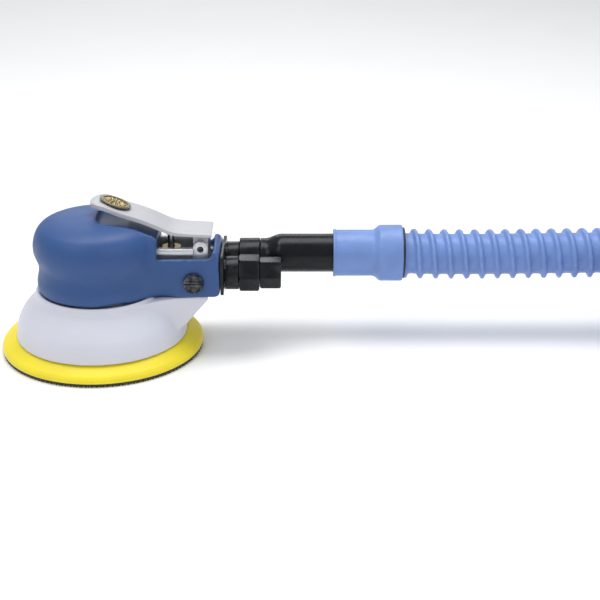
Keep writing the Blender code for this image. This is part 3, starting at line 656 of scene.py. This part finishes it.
def pad_foam():
    """Foam disc with a soft shoulder and rim, and a pocket for the stud's head."""
    wall = [
        (10.0, 10.5), (53.6, 10.5, 5.0), (61.2, 6.4, 3.0), (62.5, 4.6, 1.6), (62.5, 2.1, 0.7), (0, 2.1, 0),
        (0, 7.5, 0), (10.0, 7.5, 0),
    ]
    foam = turned("foam_pad", rounded(wall, 0.4), 128, axis=PAD_AXIS)
    cut(foam, dust_holes("foam_holes", 0, 14))
    dress(foam, "yellow_pad", "pad", ("pad_body",))


def hook_spots():
    """Place and size of each hook: an even field that leaves the dust holes free, and a ragged rim."""
    spots = []
    row_pitch = HOOK_PITCH * 0.866
    rows = int(HOOK_FIELD_R / row_pitch) + 1
    for row in range(-rows, rows + 1):
        for column in range(-30, 31):
            x, y = (column + 0.5 * (row % 2)) * HOOK_PITCH, row * row_pitch
            near_hole = min(math.dist((x, y), centre[:2]) for centre in dust_hole_centres())
            if math.hypot(x, y) <= HOOK_FIELD_R and near_hole >= DUST_HOLE_R + 0.6:
                spots.append((x, y, 1.0))
    for i in range(RIM_HOOKS):
        angle = 2 * math.pi * (i + 0.35 * math.sin(2.3 * i)) / RIM_HOOKS
        rim_r = 61.75 + 0.15 * math.sin(1.7 * i)
        spots.append((rim_r * math.cos(angle), rim_r * math.sin(angle), 1.25 + 0.35 * math.sin(3.1 * i)))
    return spots


def hook_face():
    """Thin backing cloth with a field of small mushroom-headed hooks under it."""
    backing = turned("hook_backing", [(0, 1.8), (61.9, 1.8), (61.9, 0.95), (0, 0.95)], 128, axis=PAD_AXIS)
    cut(backing, dust_holes("hook_holes", -2, 5))
    dress(backing, "hook_pile", "pad", ("hook_face",))

    hook = ((0.16, 0.80), (0.16, 0.40), (0.42, 0.26), (0.24, 0.03))
    points, faces = [], []
    for number, (x, y, size) in enumerate(hook_spots()):
        first = len(points)
        for radius, z in hook:
            for corner in range(3):
                angle = 1.3 * number + 2 * math.pi * corner / 3
                points.append((x + size * radius * math.cos(angle), y + size * radius * math.sin(angle), z))
        for ring in range(len(hook) - 1):
            for corner in range(3):
                a, b = first + 3 * ring + corner, first + 3 * ring + (corner + 1) % 3
                faces.append((a, a + 3, b + 3, b))
        last = first + 3 * len(hook) - 1
        faces.append((first, first + 1, first + 2))
        faces.append((last, last - 1, last - 2))
    hooks = new_object("hook_field", mesh_of("hook_field", np.array(points) * MM, faces), PAD_AXIS)
    dress(hooks, "hook_pile", "pad")


# Grip cover and casting


def cover_skin():
    """The head and the handle as one solid, with the head's sides flowing into the handle."""
    wall = [
        (8, 87.2), (15, 86.6), (26, 84.7), (32.5, 82.3), (35.6, 79.6), (37.7, 75.8), (39.0, 70.5),
        (38.8, 65.5), (37.5, 61.5), (36.2, 57.3), (36.6, 52.5), (37.6, 48), (37.7, 44), (37.2, 41.3),
    ]
    cover = turned("moulded_grip_cover", [(0, 87.5), *spline(wall, 5), (0, 41.3)], 128)
    shoulder = [
        (8, 50, 0), (8, 84.2), (22, 82.9), (33, 81.0), (39, 79.0, 2), (39, 69.2, 0), (HANDLE_END, 69.2, 3.0),
        (HANDLE_END, 39.8), (20, 39.8),
    ]
    handle = slab("handle_block", rounded(shoulder, 3.0), -HANDLE_HALF_WIDTH, HANDLE_HALF_WIDTH)
    below = [
        (8, 50, 0), (8, 80), (24, 78), (34, 74), (46, 66), (60, 60), (HANDLE_END, 58), (HANDLE_END, 39.8),
        (20, 39.8),
    ]
    root = slab("handle_root", rounded(below, 3.0), -40, 40)
    edge = [(8, 33), (20, 30.2), (28, 25.0), (34, 20.3), (39, 18.1)]
    flare = spline([*edge, (45, HANDLE_HALF_WIDTH), (HANDLE_END, HANDLE_HALF_WIDTH)], 5)
    flare = [*flare, *[(x, -y) for x, y in reversed(flare)]]
    combine(root, "INTERSECT", [slab("handle_flare", flare, 30, 95, "XY")])
    fuse(cover, [bevel(handle, 3.0, 4), root], 0.95)
    soften(cover, 60, lambda x, y, z: fade(x, 3, 14) * (1 - fade(x, 40, 50)) * fade(abs(y), 5, 13))
    return soften(cover, 5)


def grip_cover():
    """Moulded grip: a round head that flows into an open-topped handle round the casting's arm."""
    cover = cover_skin()
    trough_side = [(1.0, 96, 0), (1.0, 84.3, 3), (20, 81.9, 9), (34, 77, 9), (44, 72.5, 0), (44, 96, 0)]
    trough = slab("trough", rounded(trough_side, 3.0, 6), -15.5, 15.5)
    trough_plan = rounded([(1.0, 15.5, 10), (50, 15.5, 0), (50, -15.5, 0), (1.0, -15.5, 10)], 0, 10)
    combine(trough, "INTERSECT", [slab("trough_plan", trough_plan, 60, 100, "XY")])
    recess = rounded([(37.5, 64.3), (70.8, 64.3, 4.5), (70.8, 100), (37.5, 100)], 0, 6)
    inner = ARM_HALF_WIDTH + 0.4
    well = box("recess_well", (37.0, -inner, 58), (71.0, inner, 70))
    cut(cover, trough, slab("recess", recess, -30, 30), well)
    fuse(cover, [], 0.7)
    soften(cover, 4)

    motor_space = [(0, 79.9), (20.4, 79.9), (33.4, 73.9), (33.4, 41.3), (37.9, 41.3), (37.9, 30), (0, 30)]
    cut(
        cover,
        turned("motor_space", motor_space, 96),
        box("arm_space", (20, -inner, 42.5), (80, inner, 64.0)),
        box("ledge_space", (20, -14, 60), (50, 14, 70.1)),
        rod("knob_hole", 5.3, -20, -12, 48, along="Y", at=joint_place("regulator_turn")),
        box("end_trim", (HANDLE_END, -30, 30), (90, 30, 90)),
    )
    dress(cover, "blue_grip", replaces=("grip_cover",), angle=50)


def motor_casting():
    """Casting that holds the motor, with the handle's arm, two ledges and the lever's lugs."""
    wall = [
        (0, 79.5), (20, 79.5), (33, 73.5), (33, 40.7), (37.5, 40.7), (37.5, 33.2), (29, 33.2), (29, 70.3),
        (14, 70.3), (14, 77), (0, 77),
    ]
    casting = turned("motor_casting", wall, 96)
    pivot = joint_place("lever_pivot")
    join(casting, box("arm", (31, -ARM_HALF_WIDTH, 42.8), (74.2, ARM_HALF_WIDTH, 62.0), 2.0, 4))
    cut(casting, box("valve_pocket", (36, -8.6, 57), (70, 8.6, 70), 1.5, 3))
    join(casting, rod("valve_boss", 7.0, 56, 63.7, 40, at=THROTTLE_AT))
    lug = [*arc(pivot, LUG_R, 0, math.pi, 33), (pivot.x - LUG_R, 61.5), (pivot.x + LUG_R, 61.5)]
    for side in (-1, 1):
        near, far = sorted((side * 9.2, side * 13.6))
        join(casting, box("ledge", (30, near, 65.0), (60.0, far, 69.7), 1.6, 5))
        near, far = sorted((side * 9.2, side * 10.6))
        join(casting, box("ledge_web", (30, near, 60), (60.0, far, 67)))
        near, far = sorted((side * LUG_INNER, side * LUG_OUTER))
        join(casting, bevel(slab("lug", lug, near, far), 0.6, 3, 50))
    air_at, knob_at = centre_line("inlet_adapter"), joint_place("regulator_turn")
    cut(
        casting,
        rod("air_bore", 5.0, 41.6, 70.2, 24, along="X", at=air_at),
        rod("inlet_thread", 6.3, 65.7, 75.2, 32, along="X", at=air_at),
        rod("throttle_bore", 5.0, 44.6, 64.7, 32, at=THROTTLE_AT),
        rod("knob_bore", 4.8, -18, 10.5, 32, along="Y", at=knob_at),
        rod("pin_bore", PIN_R, -16, 16, 24, along="Y", at=pivot),
        *[rod("screw_bore", PLATE_SCREW_R, 60, 75.2, 16, along="X", at=at) for at in PLATE_SCREWS.values()],
    )
    dress(casting, "cast_aluminium", replaces=("motor_housing",), angle=30)


# Lever


def lever_top():
    """The lever's upper line from its tip back to the pivot."""
    line = [
        (-3.5, 96.2), (0, 96.7), (4, 96.5), (8, 95.6), (16, 92.3), (24, 89.7), (30.5, 87.4), (37.3, 84.5),
        (44.5, 81.1), (49, 79.8), (54, 79.1), (60, 78.7), (70.3, 78.2),
    ]
    return [tuple(point) for point in spline(line, 4)]


def lever_plan(name, inset):
    """The lever's outline seen from above, drawn in from its edge."""
    low, high = span("lever")
    half, rear = high.y - inset, high.x - inset
    tip, tip_length = low.x + 0.8 + inset, 0.9 * half
    angles = np.linspace(-math.pi / 2, math.pi / 2, 40)
    ellipse = [(tip + tip_length * (1 - math.cos(a)), -half * math.sin(a)) for a in angles]
    return slab(name, [(rear, -half), (rear, half), *ellipse], 60, 110, "XY")


def lever():
    """Pressed lever with an elliptical tip, a turned-down rim and two ears between the casting's lugs."""
    pivot = joint_place("lever_pivot")
    top, sheet = lever_top(), 1.3
    rim_depths = [2.6 - fade(x, 35, 60) for x, _ in top]
    under = [(x, z - depth) for (x, z), depth in zip(reversed(top), reversed(rim_depths))]
    plate = slab("pressed_lever", top + under, -30, 30)
    combine(plate, "INTERSECT", [lever_plan("lever_plan", 0)])
    inside = [(x, z - sheet) for x, z in top]
    hollow = slab("lever_hollow", inside + [(80, 60), (-20, 60)], -30, 30)
    combine(hollow, "INTERSECT", [lever_plan("hollow_plan", sheet)])
    cut(plate, hollow)
    bevel(plate, 0.45, 3, 40)
    ear_r, ear_outer = LUG_R - 0.4, LUG_INNER - 0.3
    ear = [*arc(pivot, ear_r, -math.pi, 0, 30), (pivot.x + ear_r, 77.6), (pivot.x - ear_r, 77.8)]
    for side in (-1, 1):
        near, far = sorted((side * (ear_outer - 1.8), side * ear_outer))
        join(plate, slab("ear", ear, near, far))
    cut(plate, rod("ear_holes", PIN_R, -20, 20, 32, along="Y", at=pivot))
    dress(plate, "satin_lever", "lever", ("lever",), 30)


def lever_pin():
    """Pin through the lugs and the ears, with chamfered ends and a dimple in the near one."""
    pivot = joint_place("lever_pivot")
    reach = span("lever_pin")[1].y
    pin = [(0, -reach), (1.3, -reach), (1.7, 0.4 - reach), (1.7, reach - 0.4), (1.3, reach), (0, reach)]
    pin = turned("lever_hinge_pin", pin, 32, along="Y", at=pivot)
    cut(pin, rod("pin_dimple", 0.8, -reach - 1, 0.8 - reach, 20, along="Y", at=pivot))
    dress(pin, "dark_steel", replaces=("lever_pin",))


def badge_place(obj):
    """Lays a piece drawn flat round the origin on the lever's free end, and makes it oval."""
    low, high = span("lever_badge")
    slope = math.radians(19.5)
    obj.location = MOTOR_AXIS + (low + high) / 2 * MM
    obj.rotation_euler = (0, slope, 0)
    obj.scale = (1.08, 0.92, 1)
    return obj


def badge():
    """Oval badge: a dark enamelled dish with a raised rim and a plain rosette in gold."""
    dish = [(0, 0.25), (7.6, 0.25), (7.9, 0.45), (9.0, 0.45), (9.0, -0.4), (0, -0.4)]
    plate = badge_place(turned("badge_dish", dish, 96))
    # The dish gets the enamel in place of the badge's gold
    dress(plate, "badge_gold", "lever", ("lever_badge",), 30, material=badge_enamel())

    rim = turned("badge_rosette", rounded([(7.2, 0.2), (7.2, 0.7), (8.0, 0.7), (8.0, 0.2)], 0.2, 3), 96)
    shape = bmesh.new()
    shape.from_mesh(rim.data)
    for ring_r, count, length, width, phase in ((4.6, 12, 1.75, 0.85, 0.0), (1.7, 6, 1.0, 0.62, 0.5)):
        for i in range(count):
            turn = Matrix.Rotation(2 * math.pi * (i + phase) / count, 4, "Z")
            place = turn @ Matrix.Translation((ring_r * MM, 0, 0.3 * MM))
            size = Matrix.Diagonal((length * MM, width * MM, 0.55 * MM, 1))
            bmesh.ops.create_uvsphere(shape, u_segments=16, v_segments=8, radius=1, matrix=place @ size)
    shape.to_mesh(rim.data)
    shape.free()
    dress(badge_place(rim), "badge_gold", "lever")


# Dust shroud


def dust_shroud():
    """Skirt hooked over the casting's flange, flowing into a duct under and behind the handle."""
    skirt = spline(
        [(38.9, 41), (39.6, 37.5), (40.7, 35.3), (42.6, 33.5), (45.0, 31.2), (47.6, 28.0), (50.1, 23.7)],
    )
    skirt += [(51.0, 21.4), (51.3, 20.3), (51.3, 19.9), (51.8, 18.6), (52.8, 12.4), (53, 11.1)]
    shroud = turned("moulded_dust_shroud", [(0, 41), *skirt, (0, 11.1)], 128)
    edge = spline([(20, -34.5), (30, -27.3), (40, -21.4), (50, -17.6), (60, -15.8), (67.5, -15.0)], 6)
    plan = slab("duct_plan", [*[tuple(p) for p in edge], (67.5, 34), (30, 34), (10, 0)], 0, 60, "XY")
    side = [(20, 39.4, 0), (67.5, 39.4, 0.8), (67.5, 37.2, 1.5), (54, 21.2, 6), (45, 14, 4), (20, 14, 0)]
    low_duct = slab("low_duct", rounded(side, 2.0), -60, 60)
    combine(low_duct, "INTERSECT", [plan])
    riser = [(40, 19.9, 5), (59, 19.9, 8), (74.8, 35.7, 4), (74.8, 61, 3), (50, 61, 12), (40, 50, 6)]
    riser_block = bevel(slab("riser", rounded(riser, 4.0, 8), 18.6, 36), 5.0, 5, 50)
    fuse(shroud, [low_duct, riser_block], 0.7)

    def blend(x, y, z):
        beside_handle = fade(z, 34, 38) * fade(-y, -20, -10)
        return fade(x, 16, 34) * (1 - fade(x, 60, 66)) * (1 - beside_handle) * fade(z, 13, 17)

    soften(shroud, 45, blend)
    soften(shroud, 2)

    inside = [
        (0, 45), (37.8, 45), (37.8, 32.8), (35, 32.8), (35, 31.2), (44.0, 29.4), (48.2, 24), (50, 19.5),
        (51.2, 11.1), (51.2, 5), (0, 5),
    ]
    low_space = [(38, 37.4), (64.6, 37.4), (52.3, 22.8), (46, 16.5), (38, 16.5)]
    riser_space = [(45, 46), (54.5, 57), (72.6, 57), (72.6, 36.8), (59, 23.5), (45, 23.5)]
    cut(
        shroud,
        slab("low_space", low_space, -12.5, 31.9),
        slab("riser_space", riser_space, 20.8, 33.8),
        turned("skirt_inside", inside, 96),
        rod("outlet", 8.0, 70, 80, 48, along="X", at=centre_line("vacuum_neck")),
        box("handle_clearance", (30, -17.9, 39.4), (80, 17.9, 50)),
        box("outlet_face", (74.8, 10, 30), (90, 50, 70)),
        box("skirt_foot", (-70, -70, 0), (52, 70, 11.1)),
    )
    dress(shroud, "pale_shroud", replaces=("dust_shroud",), angle=40)


# Handle's end and fittings


def rear_plate():
    """Plate on the handle's end that both ports pass through."""
    low, high = span("rear_plate")
    points = [
        (-17, 42), (-15.5, 40.5), (17, 40.5), (20, 38.5), (34, 38.5), (37.5, 42), (37.5, 57.5), (34, 61),
        (17, 62), (14, 65), (-14, 65), (-17, 62),
    ]
    plate = slab("end_plate", rounded(points, 2.0), low.x, high.x, "YZ")
    through = dict(bottom=low.x - 1, top=high.x + 1, along="X")
    cut(
        plate,
        rod("plate_inlet", 6.3, at=centre_line("inlet_adapter"), steps=48, **through),
        rod("plate_outlet", 8.0, at=centre_line("vacuum_neck"), steps=48, **through),
    )
    for at in PLATE_SCREWS.values():
        cut(plate, rod("screw_hole", PLATE_SCREW_R, at=at, steps=24, **through))
    bevel(plate, 0.35, 2, 50)
    dress(plate, "black_plastic", replaces=("rear_plate",))


def plate_screws():
    """Two slotted screws with domed heads, set a little into the plate."""
    face = span("rear_plate")[1].x
    seat, top = face + 0.3, face + 1.5
    profile = [
        (2.9, seat), (2.9, top - 0.6), (2.4, top - 0.1), (1.2, top), (0, top), (0, 62), (1.6, 62),
        (1.6, seat),
    ]
    for name, at in PLATE_SCREWS.items():
        screw = turned(f"plate_screw_{name}", profile, 40, along="X", at=at)
        cut(screw, box("slot", (top - 0.8, at[1] - 4, at[2] - 0.4), (top + 1, at[1] + 4, at[2] + 0.4)))
        dress(screw, "dark_steel", replaces=(f"rear_plate_screw_{name}",), angle=30)


def hexagon(name, node):
    """Hexagonal fitting, flat above and below, with its corners turned off at both ends."""
    low, high = span(node)
    at = centre_line(node)
    radius = (high.y - low.y) / 2
    corners = [math.radians(60 * i) for i in range(6)]
    outline = [(at.y + radius * math.cos(a), at.z + radius * math.sin(a)) for a in corners]
    nut = slab(name, outline, low.x, high.x, "YZ")
    chamfer = [
        (0, low.x), (radius * 0.91, low.x), (radius * 1.02, low.x + 1.1), (radius * 1.02, high.x - 1.1),
        (radius * 0.91, high.x), (0, high.x),
    ]
    return combine(nut, "INTERSECT", [turned("chamfer", chamfer, 72, along="X", at=at)])


def inlet():
    """Neck, locknut and bushing that take the air line."""
    neck_end, nut_end = span("inlet_locknut")[0].x - 0.3, span("inlet_locknut")[1].x
    plate_back, neck_r = span("rear_plate")[1].x + 0.3, span("inlet_adapter")[1].y
    neck = [
        (4.3, 66), (6.0, 66), (6.0, plate_back), (neck_r, plate_back), (neck_r, neck_end, 0.6),
        (6.3, neck_end), (6.3, nut_end), (4.3, nut_end),
    ]
    at = centre_line("inlet_adapter")
    adapter = turned("inlet_neck", rounded(neck, 0.15, 2), 64, along="X", at=at)
    dress(adapter, "black_plastic", replaces=("inlet_adapter",))
    for name, node, bore_r in (("lock_nut", "inlet_locknut", 6.6), ("air_bushing", "inlet_bushing", 5.2)):
        low, high = span(node)
        nut = hexagon(name, node)
        bore = [(0, low.x - 1), (bore_r, low.x - 1), (bore_r, high.x - 0.7), (bore_r + 0.8, high.x + 0.1)]
        cut(nut, turned("bore", [*bore, (0, high.x + 0.1)], 48, along="X", at=at))
        bevel(nut, 0.35, 2, 35)
        dress(nut, "black_plastic", replaces=(node,), angle=30)


def vacuum_port():
    """Neck in the plate and the collar round the tube's start."""
    low, high = span("vacuum_neck")
    at = centre_line("vacuum_neck")
    neck = [(8.0, low.x), (9.5, low.x), (9.5, 85.2, 0.4), (9.0, 85.2), (9.0, high.x), (8.0, high.x)]
    neck = turned("outlet_neck", rounded(neck, 0.15, 2), 64, along="X", at=at)
    dress(neck, "black_plastic", replaces=("vacuum_neck",))
    low, high = span("vacuum_collar")
    collar = [(9.3, low.x), (11.8, low.x, 0.8), (11.8, high.x, 0.8), (9.3, high.x)]
    collar = turned("outlet_collar", rounded(collar, 0.3, 4), 96, along="X", at=at)
    dress(collar, "black_plastic", replaces=("vacuum_collar",))


def vacuum_pipe():
    """Tube that widens and turns a little aside on its way to the hose, with its bore."""
    low, high = span("vacuum_tube")
    stations = [low.x, *np.linspace(low.x + 0.4, 112, 22), *np.linspace(116, high.x - 0.4, 8), high.x]
    turn = np.linspace(0, 2 * math.pi, 64, endpoint=False)
    circle = np.stack([np.zeros(64), np.cos(turn), np.sin(turn)], axis=1)
    rings, bores = [], []
    for x in stations:
        widened = fade(x, 101.5, 112.0)
        rounding = 0.4 if x in (low.x, high.x) else 0.0
        middle = np.array((x, 27 - 2 * widened, 49.5 + 3.2 * widened))
        rings.append((middle + circle * (11.6 + 0.5 * widened - rounding)) * MM)
        bores.append((middle + circle * (8.0 + 2.3 * widened)) * MM)
    tube = loft("vacuum_pipe", rings + bores[::-1] + rings[:1], closed_ends=False)
    weld(tube)
    dress(tube, "black_plastic", replaces=("vacuum_tube",))


def knob():
    """Speed regulator: a slotted button with a raised rim on the valve's spool."""
    low, high = span("regulator_valve")
    at = joint_place("regulator_turn")
    knob_r, face = (high.x - low.x) / 2, low.y
    spool = [
        (0, 9), (4.5, 9), (4.5, -6), (3.2, -6), (3.2, -8), (4.5, -8), (4.5, -10.5), (3.5, -10.5),
        (3.5, -12.5), (4.5, -12.5), (4.5, -17.9), (knob_r, -17.9), (knob_r, face + 0.9),
        (knob_r - 0.3, face + 0.25), (knob_r - 0.9, face), (knob_r - 1.5, face + 0.2),
        (knob_r - 1.8, face + 0.7), (0, face + 0.7),
    ]
    valve = turned("speed_knob", spool, 72, along="Y", at=at)
    bridge = box("bridge", (at.x - 4.7, face + 0.1, at.z - 1.5), (at.x + 4.7, face + 1.2, at.z + 1.5))
    join(valve, bevel(bridge, 0.25, 2))
    cut(valve, box("knob_slot", (at.x - 7, face - 1, at.z - 0.45), (at.x + 7, face + 0.9, at.z + 0.45)))
    bevel(valve, 0.12, 1, 45)
    dress(valve, "dark_steel", "regulator", ("regulator_valve",), 30)


def throttle():
    """Valve stem with a domed cap, and the flanged bushing that it slides in."""
    low, high = span("throttle_stem")
    dome = [(3.2 * math.sin(a), high.z - 1.0 + math.cos(a)) for a in np.linspace(0, math.pi / 2, 10)]
    stem = [*dome, (3.2, 75.2), (2, 75.2), (2, 54.6), (4.2, 54.6), (4.2, low.z), (0, low.z)]
    stem = turned("valve_stem", stem, 40, at=THROTTLE_AT)
    dress(stem, "bright_steel", "throttle_valve", ("throttle_stem",), 30)
    wall = [(2.3, 67, 0.4), (6.2, 67, 0.6), (6.2, 64, 0.3), (4.7, 64), (4.7, 57), (2.3, 57)]
    guide = turned("valve_guide", rounded(wall, 0.1, 3), 48, at=THROTTLE_AT)
    dress(guide, "bronze", replaces=("valve_bushing",), angle=30)


# Hose, its cuffs and strap


def coil_centre():
    return COIL_X, HOSE_Y - COIL_R


def tail_point(angle):
    """A point of the stretch that turns in from the coil, seen from above."""
    x, y = coil_centre()
    inset = COIL_R - TAIL_R
    x += inset * math.cos(TAIL_START) + TAIL_R * math.cos(angle)
    y += inset * math.sin(TAIL_START) + TAIL_R * math.sin(angle)
    return x, y


def hose_route():
    """Points down the middle of the hose: a straight run, a coil of two levels, and a tail into the coil."""
    low_z = COIL_LIFT + HOSE_R
    top_z = low_z + 2 * HOSE_R
    run = [
        (0.1835, 0.0525), (0.1915, 0.0523), (0.2050, 0.0519), (0.2350, 0.0518), (0.2700, 0.0522),
        (0.3150, 0.0528), (0.3500, 0.0527), (0.3770, 0.0521), (0.4100, 0.0507), (0.4450, 0.0490),
        (COIL_X, top_z),
    ]
    line = spline([(x, HOSE_Y, z) for x, z in run], 24)[:-1]
    x, y = coil_centre()
    degrees = np.arange(90.0, math.degrees(TAIL_START) - 360, -0.4)
    for angle, drop in zip(np.radians(degrees), fade(-degrees, 50, 170)):
        height = top_z + (low_z - top_z) * drop
        line.append(np.array((x + COIL_R * math.cos(angle), y + COIL_R * math.sin(angle), height)))
    for angle in np.linspace(TAIL_START, TAIL_END, 250):
        rise = END_CUFF_R - low_z
        line.append(np.array((*tail_point(angle), low_z + rise * fade(-angle, 1.2, 1.9))))
    ahead = line[-1] - line[-2]
    into_cuff = 0.008
    line += [line[-1] + ahead / np.linalg.norm(ahead) * into_cuff * i / 4 for i in range(1, 5)]
    return np.array(line)


def evenly(line, step):
    """The line again with points that far apart, and the distance along it of each."""
    along = np.concatenate([[0], np.cumsum(np.linalg.norm(np.diff(line, axis=0), axis=1))])
    at = np.linspace(0, along[-1], int(along[-1] / step) + 1)
    return np.stack([np.interp(at, along, line[:, k]) for k in range(3)], axis=1), at


def hose():
    """Thin-walled hose with one raised rib wound along it."""
    path, along = evenly(hose_route(), 0.00066)
    ahead = np.gradient(path, axis=0)
    ahead /= np.linalg.norm(ahead, axis=1)[:, None]
    side = np.cross(ahead, (0, 0, 1))
    side /= np.linalg.norm(side, axis=1)[:, None]
    up = np.cross(side, ahead)
    sides, sag = 36, 0.0002
    turn = np.arange(sides) / sides
    phase = along[:, None] / HOSE_PITCH - turn[None, :] - RIB_PHASE
    away = np.minimum(np.abs((phase + 0.5) % 1 - 0.5) / (RIB_SHARE / 2), 1)
    rib = np.sqrt(1 - away**2) * (1 - fade(away, 0.6, 1.0))
    wall = HOSE_WALL_R + sag * np.cos(2 * math.pi * phase)
    radius = wall + (HOSE_R - HOSE_WALL_R - sag) * rib
    angle = 2 * math.pi * turn
    spokes = np.cos(angle)[None, :, None] * up[:, None, :] + np.sin(angle)[None, :, None] * side[:, None, :]
    rings = path[:, None, :] + radius[:, :, None] * spokes
    obj = loft("ribbed_hose", list(rings[:, ::-1]), PAD_AXIS)
    weld(obj)
    dress(obj, "hose_blue", replaces=("vacuum_hose", "hose_coil"), angle=60)
    return obj, path[::8]


def hose_cuff():
    """Soft cuff on the tube, flared where the hose goes in, and a dark ring in its mouth: painted shade."""
    low, high = span("hose_cuff")
    shorter = 3.2  # than in the CAD, as in the photo
    end = high.x - low.x - shorter
    wall = [
        (12.4, 0, 0.3), (15.1, 0, 0.5), (15.1, 1.2, 0.5), (14.6, 1.8, 0.5), (14.6, 25.4, 4), (17.7, 29.2, 3),
        (17.7, end, 1.2), (14.2, end, 0.4), (14.2, end - 2.5), (13.4, end - 2.5), (13.4, 20), (12.4, 20),
    ]
    at = (low.x, (low.y + high.y) / 2, (low.z + high.z) / 2)
    cuff = turned("soft_hose_cuff", rounded(wall, 0.2, 6), 96, along="X", at=at)
    # Painted shade: a thin black ring in the cuff's mouth stands for the shadow in the gap round the hose
    shadow_ring_profile = rounded([(12.9, end - 2), (16.0, end - 2), (16.0, end + 1.4, 0.6), (12.9, end + 1.4)], 0, 3)
    shadow_ring = turned("cuff_shadow_ring", shadow_ring_profile, 64, along="X", at=at)
    return [dress(cuff, "hose_blue", replaces=("hose_cuff",)), dress(shadow_ring, "black_rubber")]


def end_cuff():
    """Cuff on the hose's free end, open for whatever it is pushed on."""
    wall = [
        (13.4, 0, 0.5), (17.7, 0, 1.6), (17.7, 14.2, 3), (14.7, 18, 3), (14.7, 46, 0.9), (12.4, 46, 0.6),
        (12.4, 20), (13.4, 20),
    ]
    cuff = turned("soft_end_cuff", rounded(wall, 0.2, 6), 96)
    cuff.location = (*tail_point(TAIL_END), END_CUFF_R)
    cuff.rotation_euler = (0, math.pi / 2, TAIL_END - math.pi / 2)
    return dress(cuff, "hose_blue", replaces=("hose_end_cuff",))


def strap():
    """Rubber strap buckled round both levels of the coil."""
    x, y = coil_centre()
    reach, thickness, half_width = HOSE_R + 0.0004, 0.0009, 0.007
    low_z = COIL_LIFT + HOSE_R
    top_z = low_z + 2 * HOSE_R
    loop = []
    for middle, start in ((top_z, 0), (low_z, math.pi)):
        for a in np.linspace(start, start + math.pi, 25):
            loop.append((math.cos(a), math.sin(a), middle))
    rings = []
    for c, s, middle in loop:
        section = []
        for out, along in ((0, -1), (0, 1), (1, 1), (1, -1)):
            r = reach + out * thickness
            section.append((x + COIL_R + r * c, y + along * half_width, middle + r * s))
        rings.append(section)
    band = loft("coil_strap", [np.array(r) for r in rings + rings[:1]], PAD_AXIS, closed_ends=False)
    weld(band)
    bevel(band, 0.3, 2, 50)
    dress(band, "black_rubber", replaces=("hose_strap",))
    buckle_low, buckle_high = (-2.4, -9.5, -6.5), (0, 9.5, 6.5)
    buckle = box("strap_buckle", buckle_low, buckle_high, 0.8, 3)
    for side in (-4.0, 1.0):
        cut(buckle, box("buckle_slot", (-5, -7.4, side), (5, 7.4, side + 3.0)))
    buckle.location = (x + COIL_R + reach + thickness + 0.0024, y, (low_z + top_z) / 2)
    dress(buckle, "black_plastic")
    return [band, buckle]


NODE_SLOTS = {
    "bright_steel": (
        "cylinder_liner", "rotor", "rotor_key", "spindle", "pad_stud", "throttle_spring",
        "regulator_stop_pin", "inlet_screen", "lower_bearing_inner_race", "lower_bearing_outer_race",
        "upper_bearing_inner_race", "upper_bearing_outer_race", "spindle_bearing_inner_race",
        "spindle_bearing_outer_race",
    ),
    "dark_steel": (
        "shaft_balancer", "shaft_circlip", "spindle_circlip", "lower_bearing_balls", "upper_bearing_balls",
        "spindle_bearing_balls",
    ),
    "cast_aluminium": ("lower_end_plate", "upper_end_plate"),
    "bronze": ("lock_ring",),
    "composite": ("pad_backing_plate", *(f"rotor_vane_{i}" for i in range(1, 6))),
    "black_rubber": ("throttle_seal", "regulator_o_ring"),
}


def dress_inner_parts():
    """Finishes for the CAD parts that stay: fine edges, smooth rounds and their own materials."""
    for slot, names in NODE_SLOTS.items():
        for name in names:
            part = frame["nodes"][name]
            part.data.materials.clear()
            part.data.materials.append(MATERIALS[slot])
            if name not in ("throttle_spring", "inlet_screen"):  # too fine to bevel
                edge = part.modifiers.new("Edges", "BEVEL")
                edge.width = 0.15 * MM
                edge.segments = 2
                edge.limit_method = "ANGLE"
                edge.angle_limit = math.radians(35)
            part.data.shade_smooth()
            part.data.set_sharp_from_angle(angle=math.radians(35))


def add_floor():
    reach = 4
    corners = [(-reach, -reach, 0), (reach, -reach, 0), (reach, reach, 0), (-reach, reach, 0)]
    mesh = mesh_of("floor", corners, [(0, 1, 2, 3)])
    floor = new_object("floor", mesh, PAD_AXIS)
    floor.data.materials.append(floor_paint())


add_camera()
hose_piece, hose_path = hose()
near_cuff, cuff_shadow_ring = hose_cuff()
far_cuff = end_cuff()
strap_pieces = strap()
pad_foam()
hook_face()
grip_cover()
motor_casting()
lever()
lever_pin()
badge()
dust_shroud()
rear_plate()
plate_screws()
inlet()
vacuum_port()
vacuum_pipe()
knob()
throttle()
dress_inner_parts()
add_floor()
add_studio()
